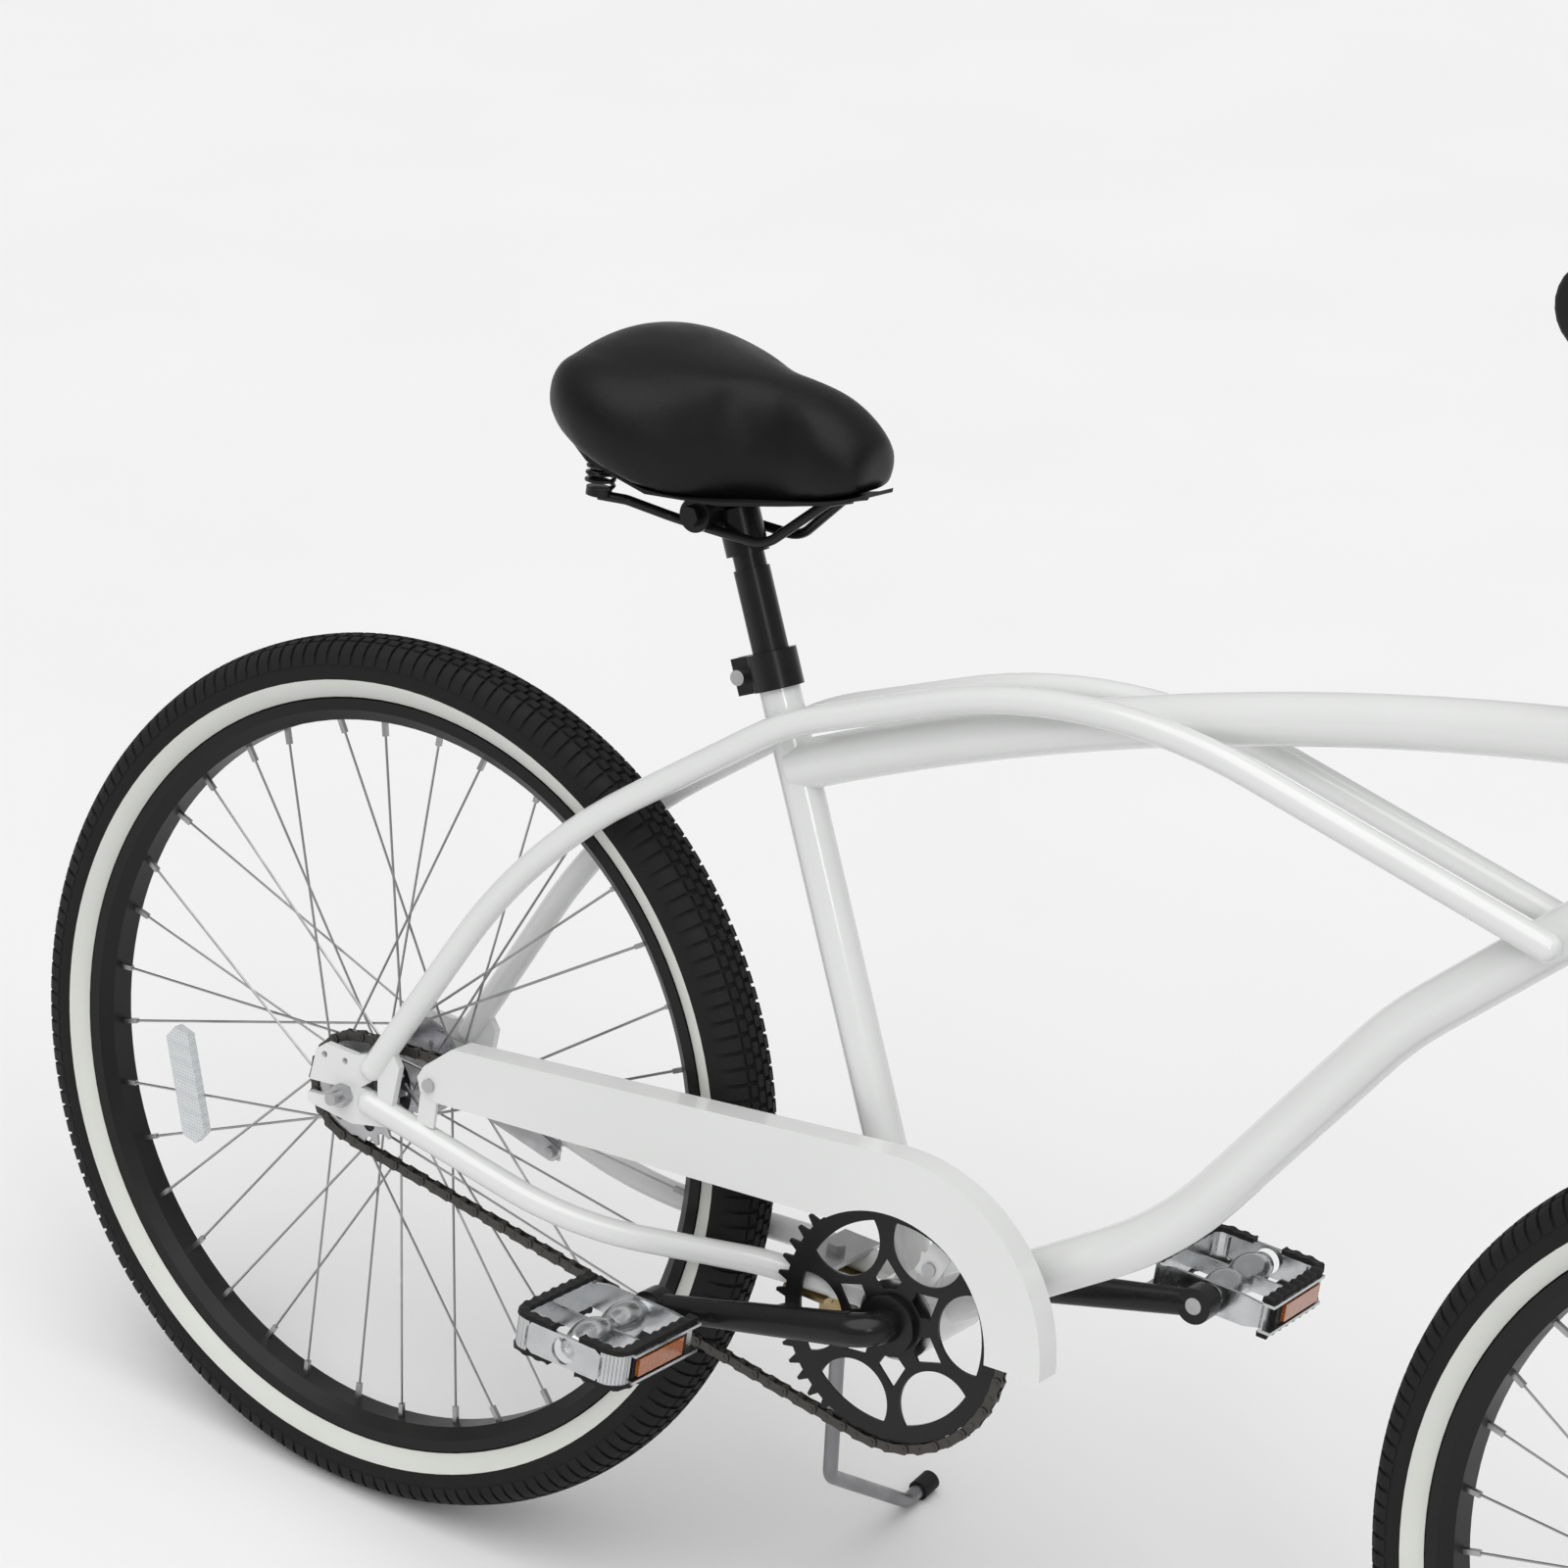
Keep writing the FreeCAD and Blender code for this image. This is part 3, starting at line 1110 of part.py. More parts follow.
def saddle_rail(side, pan, cover):
    """One rail from the nose through the clamp to the disc under its spring."""
    gauge = side * RAIL_SPACING / 2
    end = saddle_spot(-SPRING_BACK, side * SPRING_SPACING / 2, spring_seat())
    points = [saddle_spot(108, side * 9, 37), saddle_spot(92, side * 11, 31), saddle_spot(54, gauge, -RAIL_DROP)]
    points.append(saddle_spot(-20, gauge, -RAIL_DROP))
    points += [saddle_spot(-44, side * (SPRING_SPACING / 2 - 8), spring_seat()), end]
    rail = pipe(bent(points, [10, 24, 18, 8]), RAIL_RADIUS)
    disc = bar(end, end + UP * (RAIL_RADIUS + SPRING_DISC), SPRING_DIAMETER / 2 - 2)
    trimmed = rail.fuse(disc).cut(pan).cut(cover)
    return max(trimmed.Solids, key=lambda solid: solid.Volume)


def arc_from(start, heading, end):
    """An arc that leaves start along heading and ends at end."""
    chord = end - start
    straight = chord.Length
    unit = chord * (1 / straight)
    sine = heading - unit * heading.dot(unit)
    turn = heading.getAngle(unit)
    middle = (start + end) * 0.5 + sine.normalize() * (straight / 2 * math.tan(turn / 2))
    return Part.Arc(start, middle, end).toShape()


def biarc(start, heading, end, final):
    """Two tangent arcs between two points with given headings."""
    gap = end - start
    both = heading + final
    spread = 2 * (1 - heading.dot(final))
    reach = (-gap.dot(both) + math.sqrt(gap.dot(both) ** 2 + spread * gap.dot(gap))) / spread
    joint = (start + end + (heading - final) * reach) * 0.5
    middle_heading = (end - final * reach) - (start + heading * reach)
    return [arc_from(start, heading, joint), arc_from(joint, middle_heading.normalize(), end)]


def spring(side):
    """A saddle spring: one wire wound in even turns, its ends flattened straight."""
    wire = SPRING_WIRE / 2
    radius = SPRING_DIAMETER / 2 - wire
    low = spring_seat() + RAIL_RADIUS + SPRING_DISC + wire
    foot = saddle_spot(-SPRING_BACK, side * SPRING_SPACING / 2, low)
    climb = (SPRING_HEIGHT - SPRING_WIRE) / SPRING_TURNS / (2 * math.pi)
    pitch_angle = math.atan2(climb, radius)
    steps = SPRING_TURNS * 4
    points = []
    for step in range(steps + 1):
        turn = math.pi / 2 * step
        spot = foot + Vector(radius * math.cos(turn), radius * math.sin(turn), climb * turn)
        level = Vector(-math.sin(turn), math.cos(turn), 0) * math.cos(pitch_angle)
        points.append((spot, level + UP * math.sin(pitch_angle)))
    first, heading = points[0]
    edges = [Part.LineSegment(first - heading * SPRING_WIRE, first).toShape()]
    for (a, into), (b, out) in zip(points, points[1:]):
        edges += biarc(a, into, b, out)
    last, heading = points[-1]
    edges.append(Part.LineSegment(last, last + heading * SPRING_WIRE).toShape())
    path = Part.Wire(edges)
    begin = points[0][0] - points[0][1] * SPRING_WIRE
    corners = []
    sideways = points[0][1].cross(UP).normalize()
    upright = sideways.cross(points[0][1]).normalize()
    for step in range(6):
        turn = math.pi / 3 * step
        corners.append(begin + sideways * (wire * math.cos(turn)) + upright * (wire * math.sin(turn)))
    section = Part.makePolygon(corners + corners[:1])
    print("spring self gap %.2f mm" % (climb * 2 * math.pi * math.cos(pitch_angle) - SPRING_WIRE))
    return path.makePipeShell([section], True, False)


SADDLE_STATIONS = (
    # forward of the clamp, half width, underside, crown
    (-108.0, 54.0, 62.0, 92.0),
    (-95.0, 86.0, 47.0, 106.0),
    (-60.0, 104.0, 32.0, 117.0),
    (-14.0, 96.0, 20.0, 112.0),
    (30.0, 66.0, 20.0, 104.0),
    (70.0, 46.0, 28.0, 96.0),
    (106.0, 36.0, 37.0, 86.0),
    (123.0, 23.0, 45.0, 74.0),
)
SADDLE_FOOT = 0.82
SADDLE_WAIST = 0.45
SADDLE_SHOULDER = 0.8
SADDLE_TOP = 0.72


def saddle_section(x, half, low, crown):
    """One cross-section of the cushion: flat below, drawn in at the foot, crowned on top."""
    shoulder = low + (crown - low) * SADDLE_SHOULDER
    wide = low + (crown - low) * SADDLE_WAIST
    tuck = half * SADDLE_FOOT
    top = half * SADDLE_TOP
    left = [saddle_spot(x, tuck, low), saddle_spot(x, half, wide), saddle_spot(x, top, shoulder)]
    right = [saddle_spot(x, -top, shoulder), saddle_spot(x, -half, wide), saddle_spot(x, -tuck, low)]
    edges = [Part.Arc(*left).toShape(), Part.Arc(left[2], saddle_spot(x, 0, crown), right[0]).toShape()]
    edges += [Part.Arc(*right).toShape(), Part.LineSegment(right[2], left[0]).toShape()]
    return Part.Wire(edges)


def saddle_cover():
    return Part.makeLoft([saddle_section(*station) for station in SADDLE_STATIONS], True, False)


def saddle_base(cover):
    """The pan under the cushion, with a disc over each spring."""
    wires = []
    for x, half, low, crown in SADDLE_STATIONS:
        wide = half * (SADDLE_FOOT - 0.06)
        corners = [saddle_spot(x, wide, low + SADDLE_BASE), saddle_spot(x, -wide, low + SADDLE_BASE)]
        corners += [saddle_spot(x, -wide, low - SADDLE_BASE), saddle_spot(x, wide, low - SADDLE_BASE)]
        wires.append(Part.makePolygon(corners + corners[:1]))
    pan = Part.makeLoft(wires, True, True)
    top = spring_seat() + RAIL_RADIUS + SPRING_DISC + SPRING_HEIGHT
    for side in (-1, 1):
        foot = saddle_spot(-SPRING_BACK, side * SPRING_SPACING / 2, top)
        pan = pan.fuse(bar(foot, foot + UP * 12, SPRING_DIAMETER / 2 - 2))
    return max(pan.cut(cover).Solids, key=lambda solid: solid.Volume)


# Steering

def fork_steerer():
    """Steerer tube with the crown at its foot."""
    crown_top = HEAD_TUBE_LOW - HEADSET_STACK
    top = HEAD_TUBE_HIGH + HEADSET_STACK + LOCKNUT_STACK
    tube = ring(steered(crown_top - 1), steered(top), STEERER_RADIUS - STEERER_WALL, STEERER_RADIUS)
    corners = []
    half = CROWN_WIDTH / 2
    deep = CROWN_DEPTH / 2
    for left, ahead in ((half, deep * 0.5), (half - 12, deep), (-half + 12, deep), (-half, deep * 0.5)):
        corners.append(steered(crown_top - CROWN_HEIGHT, ahead, left))
    for left, ahead in ((-half, -deep * 0.5), (-half + 12, -deep), (half - 12, -deep), (half, -deep * 0.5)):
        corners.append(steered(crown_top - CROWN_HEIGHT, ahead, left))
    return tube.fuse(prism(corners, STEER_LINE * (CROWN_HEIGHT - CROWN_GAP)))


def fork_blade():
    """The left blade: straight from the crown, then swept forward to the axle, with its slotted tip."""
    crown_low = HEAD_TUBE_LOW - HEADSET_STACK - CROWN_HEIGHT
    inside = FRONT_FACE + FORK_TIP_THICKNESS / 2
    points = [steered(crown_low + 4, 0, BLADE_SPREAD), steered(150, 0, inside), steered(22, FORK_RAKE - 8, inside)]
    straight, curve, toe = bent(points, [BLADE_BEND]).Edges
    start = straight.valueAt(straight.FirstParameter)
    run = straight.valueAt(straight.LastParameter) - start
    upper = Part.makeCone(BLADE_TOP_RADIUS, BLADE_TIP_RADIUS, run.Length, start, run)
    lower = pipe(Part.Wire([curve, toe]), BLADE_TIP_RADIUS)
    blade = upper.fuse(lower).fuse(Part.makeSphere(BLADE_TIP_RADIUS, points[-1]))
    plane = FRONT_FACE
    outline = [(36, -12), (36, 6), (8, 17), (-16, 12), (-16, -8), (4, -13)]
    corners = [steered(height, FORK_RAKE + ahead, plane) for height, ahead in outline]
    tip = prism(corners, LEFT * FORK_TIP_THICKNESS)
    reach = LEFT * (FORK_TIP_THICKNESS + 2)
    slot_half = AXLE_DIAMETER / 2 + 0.3
    slot = [(0, slot_half), (-30, slot_half), (-30, -slot_half), (0, -slot_half)]
    cutter = prism([steered(height, FORK_RAKE + ahead, plane - 1) for height, ahead in slot], reach)
    hole = bar(FRONT + LEFT * (plane - 1), FRONT + LEFT * (plane - 1) + reach, slot_half)
    eyelet = steered(FORK_EYELET_UP, FORK_RAKE + FORK_EYELET_AHEAD, plane - 1)
    seat = [steered(crown_low, ahead, left) for ahead, left in ((-60, 0), (60, 0), (60, 120), (-60, 120))]
    blade = blade.cut(prism(seat, STEER_LINE * 40))
    return blade.fuse(tip).cut(cutter).cut(hole).cut(bar(eyelet, eyelet + reach, EYELET_RADIUS))


def headset_locknut():
    low = HEAD_TUBE_HIGH + HEADSET_STACK
    nut = hexagon(steered(low), STEER_LINE, 2 * HEADSET_RADIUS - 8, LOCKNUT_STACK)
    return nut.cut(bar(steered(low - 1), steered(low + LOCKNUT_STACK + 1), STEERER_RADIUS))


def stem():
    """A quill stem: quill in the steerer, forward arm, bar clamp and the expander bolt on top."""
    quill_radius = STEERER_RADIUS - STEERER_WALL - QUILL_FIT
    base = HEAD_TUBE_HIGH + HEADSET_STACK + LOCKNUT_STACK
    top = base + STEM_RISE
    quill = bar(steered(base - 70), steered(top), quill_radius)
    clamp = steered(top - STEM_RADIUS, STEM_REACH)
    arm = bar(steered(top - STEM_RADIUS), clamp, STEM_RADIUS * 0.85)
    clamp_blank = bar(clamp - LEFT * 20, clamp + LEFT * 20, HANDLEBAR_CLAMP_RADIUS + 5)
    collar = bar(steered(top - 2 * STEM_RADIUS), steered(top), STEM_RADIUS)
    body = quill.fuse(collar).fuse(arm).fuse(clamp_blank)
    body = body.cut(bar(clamp - LEFT * 21, clamp + LEFT * 21, HANDLEBAR_CLAMP_RADIUS))
    bolt = hexagon(steered(top), STEER_LINE, 13, 8)
    return [body, bolt]


def bar_centre():
    top = HEAD_TUBE_HIGH + HEADSET_STACK + LOCKNUT_STACK + STEM_RISE
    return steered(top - STEM_RADIUS, STEM_REACH)


def bar_path(side):
    """One half of the riser handlebar: out from the clamp, up, and out again to the grip."""
    start = bar_centre()
    points = [start, start + Vector(0, side * HANDLEBAR_FOOT / 2, 0)]
    points.append(start + Vector(0, side * HANDLEBAR_SHOULDER / 2, HANDLEBAR_RISE))
    points.append(start + Vector(-HANDLEBAR_SWEEP, side * HANDLEBAR_WIDTH / 2, HANDLEBAR_RISE + 8))
    return bent(points, [45, 45])


def handlebar():
    centre = bar_centre()
    body = bar(centre - LEFT * 28, centre + LEFT * 28, HANDLEBAR_CLAMP_RADIUS)
    return body.fuse(pipe(bar_path(1), HANDLEBAR_RADIUS)).fuse(pipe(bar_path(-1), HANDLEBAR_RADIUS))


def grip(side):
    last = bar_path(side).Edges[-1]
    end = last.valueAt(last.LastParameter)
    heading = last.tangentAt(last.LastParameter)
    body = bar(end - heading * (GRIP_LENGTH - 6), end + heading * 6, GRIP_RADIUS)
    return body.cut(bar(end - heading * (GRIP_LENGTH + 6), end, HANDLEBAR_RADIUS))


# Kickstand

def stand_pivot():
    return BB + Vector(-STAND_PIVOT_BACK, STAND_PIVOT_LEFT, -STAND_PIVOT_DROP)


def ground_below(y):
    """Height of the ground under a point of the leaning bicycle, drawn upright."""
    lean = math.radians(PARKED_LEAN)
    crown = TYRE_WIDTH / 2
    contact = (WHEEL_RADIUS - crown) * math.cos(lean) + crown
    return WHEEL_RADIUS - contact / math.cos(lean) + y * math.tan(lean)


def stand_heel():
    """Where the leg bends into the foot, so that the rubber tip rests on the ground."""
    x = BB.x - STAND_FOOT_BACK
    lift = STAND_TIP_RADIUS / math.cos(math.radians(PARKED_LEAN))
    return Vector(x, STAND_FOOT_LEFT, ground_below(STAND_FOOT_LEFT) + lift)


def stand_knee():
    """Where the leg bends outwards, just below the circle that the left pedal goes round."""
    return BB + Vector(-STAND_KNEE_BACK, STAND_KNEE_LEFT, -STAND_KNEE_DROP)


def stand_line():
    return (stand_knee() - stand_pivot()).normalize()


def stand_stowed():
    return Vector(-0.955, 0.2, -0.2).normalize()


def stand_axis():
    return stand_line().cross(stand_stowed()).normalize()


def along_ground():
    lean = math.radians(PARKED_LEAN)
    return Vector(0, math.cos(lean), math.sin(lean))


def stand_leg():
    """The leg with its pivot eye, its knee and the stub that carries the rubber tip."""
    pivot = stand_pivot()
    axis = stand_axis()
    heel = stand_heel()
    foot = heel + along_ground() * STAND_FOOT_LENGTH
    half = STAND_EYE_LENGTH / 2
    start = pivot + stand_line() * (STAND_EYE_RADIUS - 1)
    path = bent([start, stand_knee(), heel, foot], [STAND_KNEE_BEND, STAND_HEEL_BEND])
    body = pipe(path, STAND_LEG_RADIUS).fuse(bar(pivot - axis * half, pivot + axis * half, STAND_EYE_RADIUS))
    return body.cut(bar(pivot - axis * (half + 1), pivot + axis * (half + 1), STAND_PIN_RADIUS + STAND_FIT))


def stand_foot():
    foot = stand_heel() + along_ground() * STAND_FOOT_LENGTH
    start = foot - along_ground() * (STAND_FOOT_LENGTH - 16)
    cap = bar(start, foot + along_ground() * 4, STAND_TIP_RADIUS)
    return cap.cut(bar(start - along_ground(), foot, STAND_LEG_RADIUS))


def stand_pin():
    axis = stand_axis()
    reach = STAND_EYE_LENGTH / 2 + STAND_SIDE_GAP + STAND_EAR
    return bar(stand_pivot() - axis * reach, stand_pivot() + axis * reach, STAND_PIN_RADIUS)


def stand_plate_x():
    return BB.x - STAND_PIVOT_BACK


def stand_bracket(rods):
    """The plate under the chainstays with two ears that carry the pivot pin."""
    x = stand_plate_x()
    under = stay_at(x - REAR.x).z - STAY_RADIUS
    corner = Vector(x - 17, -STAND_PLATE_WIDTH / 2, under - STAND_PLATE + STAND_BITE)
    plate = Part.makeBox(34, STAND_PLATE_WIDTH, STAND_PLATE, corner)
    pivot = stand_pivot()
    axis = stand_axis()
    upward = stand_line() * -1
    side = axis.cross(upward)
    reach = STAND_EYE_LENGTH / 2 + STAND_SIDE_GAP
    body = plate
    limit = Part.makeBox(200, 200, 200, Vector(x - 100, -100, under - 0.2 - 200))
    for start in (reach, -reach - STAND_EAR):
        base = pivot + axis * start
        depth = axis * STAND_EAR
        strip = prism([base - side * 10, base + side * 10, base + side * 10 + upward * 60, base - side * 10 + upward * 60], depth)
        ear = strip.fuse(bar(base, base + depth, STAND_EYE_RADIUS + 1))
        body = body.fuse(ear.common(limit))
    reach = STAND_EYE_LENGTH + 2 * STAND_EAR
    body = body.cut(bar(pivot - axis * reach, pivot + axis * reach, STAND_PIN_RADIUS))
    body = body.cut(bar(Vector(x, 0, under - 20), Vector(x, 0, under + 40), 4.0))
    for rod in rods:
        body = body.cut(rod)
    return body


def stand_top_plate(rods):
    x = stand_plate_x()
    over = stay_at(x - REAR.x).z + STAY_RADIUS
    corner = Vector(x - 15, -STAND_PLATE_WIDTH / 2, over - STAND_BITE)
    plate = Part.makeBox(30, STAND_PLATE_WIDTH, STAND_PLATE, corner)
    plate = plate.cut(bar(Vector(x, 0, over - 20), Vector(x, 0, over + 20), 4.0))
    return plate.cut(rods)


def stand_bolt():
    x = stand_plate_x()
    stay = stay_at(x - REAR.x).z
    top = stay + STAY_RADIUS - STAND_BITE + STAND_PLATE
    low = stay - STAY_RADIUS - STAND_PLATE + STAND_BITE
    shank = bar(Vector(x, 0, low), Vector(x, 0, top), 4.0)
    return shank.fuse(hexagon(Vector(x, 0, top), UP, 13, 6))


# Parking: the steering is turned, then the whole bicycle leans on to the kickstand

def parking():
    """How the upright bicycle is set on the ground."""
    lean = Placement(Vector(), Rotation(Vector(1, 0, 0), -PARKED_LEAN))
    turn = Rotation(STEER_LINE, PARKED_STEER)
    steer = Placement(STEER_FOOT - turn.multVec(STEER_FOOT), turn)
    crown = TYRE_WIDTH / 2
    lows = []
    for hub, axle in ((REAR, LEFT), (steer.multVec(FRONT), turn.multVec(LEFT))):
        axle = lean.Rotation.multVec(axle)
        depth = (WHEEL_RADIUS - crown) * math.sqrt(1 - axle.z ** 2) + crown
        lows.append(lean.multVec(hub).z - depth)
    pitch = math.degrees(math.atan2(lows[1] - lows[0], WHEELBASE))
    level = Placement(Vector(), Rotation(LEFT, pitch))
    drop = (lows[0] + lows[1]) / 2
    return Placement(Vector(0, 0, -drop), Rotation()).multiply(level).multiply(lean), steer


def build():
    """Every node of the bicycle, drawn upright, and the names of those that turn with the steering."""
    pins, run, ring_arc, step = chain_pins()
    ring_gap = gap_angle(pins, BB, RING_PITCH_RADIUS)
    cog_gap = gap_angle(pins, REAR, COG_PITCH_RADIUS)
    left_dropout = dropout()
    left_stringer = stringer(left_dropout)
    left_chainstay = chainstay(left_dropout)
    right_chainstay = mirrored(left_chainstay).fuse(guard_tab())
    rod = pipe(chainstay_path(), STAY_RADIUS)
    rods = [rod, mirrored(rod)]
    cover = saddle_cover()
    pan = saddle_base(cover)
    rails = [saddle_rail(1, pan, cover), saddle_rail(-1, pan, cover)]
    wheel_rim = rim()
    rear_shell = rear_hub()
    front_shell = front_hub()
    rear_nuts = axle_nuts(REAR_FACE + DROPOUT_THICKNESS)
    for nut in rear_nuts:
        nut.translate(REAR)
    frame = {
        "bottom_bracket_shell": bb_shell(),
        "seat_tube": seat_tube(),
        "head_tube": head_tube(),
        "top_tube": top_tube(),
        "down_tube": down_tube(),
        "stringer_stays": [left_stringer, mirrored(left_stringer)],
        "chainstays": [left_chainstay, right_chainstay],
        "left_dropout": left_dropout,
        "right_dropout": mirrored(left_dropout),
        "seat_clamp": seat_clamp(),
        "frame_bolts": [clamp_bolt(), brake_bolt(), stand_bolt(), stand_pin()] + guard_screws() + rear_nuts,
        "headset_cups": headset_cups(),
        "bottom_bracket_cups": bb_cups() + bb_bearings(),
        "chain_guard": chain_guard(),
        "coaster_brake_arm": brake_arm(),
        "brake_arm_clip": brake_clip(),
        "kickstand_bracket": stand_bracket(rods),
        "kickstand_top_plate": stand_top_plate(rods),
        "kickstand_leg": stand_leg(),
        "kickstand_foot": stand_foot(),
        "chain": chain(pins),
        "rear_sprocket": rear_sprocket(cog_gap),
        "chainring": chainring(ring_gap),
        "crank": crank(),
        "crank_cones": crank_cones(),
        "pedal_axles": [pedal_axle(1), pedal_axle(-1)],
        "seatpost": seatpost(),
        "saddle_clamp": saddle_clamp(),
        "saddle_rails": rails,
        "saddle_springs": [spring(1).cut(pan).cut(rails[0]), spring(-1).cut(pan).cut(rails[1])],
        "saddle_base": pan,
        "saddle_cover": cover,
    }
    for name, side in (("left_pedal", 1), ("right_pedal", -1)):
        frame[name + "_cage"] = pedal_body(side)
        frame[name + "_treads"] = pedal_treads(side)
        frame[name + "_reflectors"] = pedal_reflectors(side)
    rear_wires = spokes(rear_shell, REAR_SPOKE_RADIUS, REAR_FLANGE_SPACING, wheel_rim)
    rear = {
        "rear_axle": rear_axle(),
        "rear_hub": [rear_shell] + rear_bearings(),
        "rear_spokes": rear_wires,
        "rear_rim": wheel_rim,
        "rear_tyre": tyre(),
        "rear_valve": valve(wheel_rim),
        "rear_reflector": reflector(200.0, -REFLECTOR_SEAT, rear_wires),
    }
    front_wires = spokes(front_shell, FRONT_SPOKE_RADIUS, FRONT_FLANGE_SPACING, wheel_rim)
    front = {
        "front_axle": front_axle(),
        "front_axle_nuts": axle_nuts(FRONT_FACE + FORK_TIP_THICKNESS),
        "front_hub": [front_shell] + front_bearings(),
        "front_spokes": front_wires,
        "front_rim": wheel_rim.copy(),
        "front_tyre": tyre(),
        "front_valve": valve(wheel_rim),
        "front_reflector": reflector(215.0, -REFLECTOR_SEAT, front_wires),
    }
    steerer = fork_steerer()
    blade = fork_blade()
    steering = {
        "fork_steerer": steerer,
        "left_fork_blade": blade,
        "right_fork_blade": mirrored(blade),
        "headset_locknut": headset_locknut(),
        "stem": stem(),
        "handlebar": handlebar(),
        "grips": [grip(1), grip(-1)],
    }
    nodes = {}
    for name, shape in frame.items():
        nodes[name] = Part.Compound(shape) if isinstance(shape, list) else shape
    for pieces, hub in ((rear, REAR), (front, FRONT)):
        for name, shape in pieces.items():
            group = Part.Compound([piece.copy() for piece in shape]) if isinstance(shape, list) else shape.copy()
            group.translate(hub)
            nodes[name] = group
    for name, shape in steering.items():
        nodes[name] = Part.Compound(shape) if isinstance(shape, list) else shape
    return nodes, set(front) | set(steering)


def place(shape, placement):
    """A copy of the shape moved by a placement."""
    moved = shape.copy()
    moved.Placement = placement.multiply(moved.Placement)
    return moved


def main():
    os.makedirs("parts", exist_ok=True)
    nodes, turning = build()
    stand, steer = parking()
    parked = {}
    for name, shape in nodes.items():
        where = stand.multiply(steer) if name in turning else stand
        parked[name] = place(shape, where)
    box = FreeCAD.BoundBox()
    for shape in parked.values():
        box.add(shape.optimalBoundingBox(False, False))
    centre = Placement(Vector(-box.Center.x, -box.Center.y, -box.ZMin), Rotation())
    stand = centre.multiply(stand)
    for name, shape in parked.items():
        place(shape, centre).exportStep("parts/" + name + ".step")
    print("size", round(box.XLength, 1), round(box.YLength, 1), round(box.ZLength, 1))
    spots = {"rear_axle": REAR, "bottom_bracket": BB, "left_pedal": pedal_eye(1), "right_pedal": pedal_eye(-1)}
    spots["stand_pivot"] = stand_pivot()
    spots["seat_top"] = SEAT_TOP
    spots["steering"] = STEER_FOOT
    spots["front_axle"] = steer.multVec(FRONT)
    for side, word in ((1, "left"), (-1, "right")):
        for index, (x, z) in enumerate(REAR_EYELETS):
            spots["%s_rear_eyelet_%d" % (word, index + 1)] = behind(x, z, side * DROPOUT_PLANE)
        eyelet = steered(FORK_EYELET_UP, FORK_RAKE + FORK_EYELET_AHEAD, side * (FRONT_FACE + FORK_TIP_THICKNESS / 2))
        spots[word + "_fork_eyelet"] = steer.multVec(eyelet)
    spots["handlebar"] = steer.multVec(bar_centre())
    for name, spot in spots.items():
        moved = stand.multVec(spot)
        print("spot", name, *moved)
    lines = {"axle": LEFT, "seat": SEAT_LINE, "steer": STEER_LINE, "stand": stand_axis()}
    lines["front"] = steer.Rotation.multVec(LEFT)
    for name, line in lines.items():
        moved = stand.Rotation.multVec(line)
        print("line", name, *moved)
    print("stow angle", round(math.degrees(stand_line().getAngle(stand_stowed())), 2))


main()
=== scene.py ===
# %% [markdown]
# # A beach cruiser, dressed for its picture
# The solid parts of this bicycle come in as a fixed frame: tubes, rims, spokes, chainring, bolts. This lesson
# gives each of them a finish, and models again what a plain solid cannot show: treaded tyres, a soft saddle,
# a roller chain, ribbed grips and a moulded pedal. Everything is in metres and stays where the frame puts it.

# %% Load the frame
import bpy
import bmesh
import json
import math
from mathutils import Matrix, Vector


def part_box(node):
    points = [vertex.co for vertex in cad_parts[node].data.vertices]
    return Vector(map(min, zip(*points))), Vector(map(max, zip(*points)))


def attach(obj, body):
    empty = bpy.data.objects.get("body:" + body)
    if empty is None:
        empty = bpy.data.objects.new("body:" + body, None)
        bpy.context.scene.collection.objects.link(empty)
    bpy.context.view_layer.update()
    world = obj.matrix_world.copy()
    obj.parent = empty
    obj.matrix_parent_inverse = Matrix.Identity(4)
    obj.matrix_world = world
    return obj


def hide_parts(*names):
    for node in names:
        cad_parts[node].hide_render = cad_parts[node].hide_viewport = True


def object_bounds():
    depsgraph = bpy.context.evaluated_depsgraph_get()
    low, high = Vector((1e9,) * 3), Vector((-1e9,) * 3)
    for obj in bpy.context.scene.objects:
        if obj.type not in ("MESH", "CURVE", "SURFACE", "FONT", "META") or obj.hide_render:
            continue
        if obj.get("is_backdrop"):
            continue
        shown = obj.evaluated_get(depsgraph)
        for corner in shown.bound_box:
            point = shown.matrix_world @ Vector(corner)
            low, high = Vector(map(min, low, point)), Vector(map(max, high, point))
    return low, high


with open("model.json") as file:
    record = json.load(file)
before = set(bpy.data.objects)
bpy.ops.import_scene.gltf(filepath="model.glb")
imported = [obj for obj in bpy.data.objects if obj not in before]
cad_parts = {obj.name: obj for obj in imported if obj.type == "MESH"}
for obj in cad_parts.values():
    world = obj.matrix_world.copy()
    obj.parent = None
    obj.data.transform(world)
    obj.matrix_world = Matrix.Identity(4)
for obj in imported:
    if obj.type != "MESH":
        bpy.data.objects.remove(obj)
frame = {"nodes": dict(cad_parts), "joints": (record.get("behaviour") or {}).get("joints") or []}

cad_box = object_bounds()
nodes = frame["nodes"]
joints = {joint["name"]: joint for joint in frame["joints"]}

# %% [markdown]
# Every turning piece has its own axle, and the bicycle leans, so nothing lies square to the world. A small
# helper reads a joint and gives a matrix whose local Y is that axle. Pieces are modelled about the origin and
# carried to their place by it, which keeps the modelling itself simple.

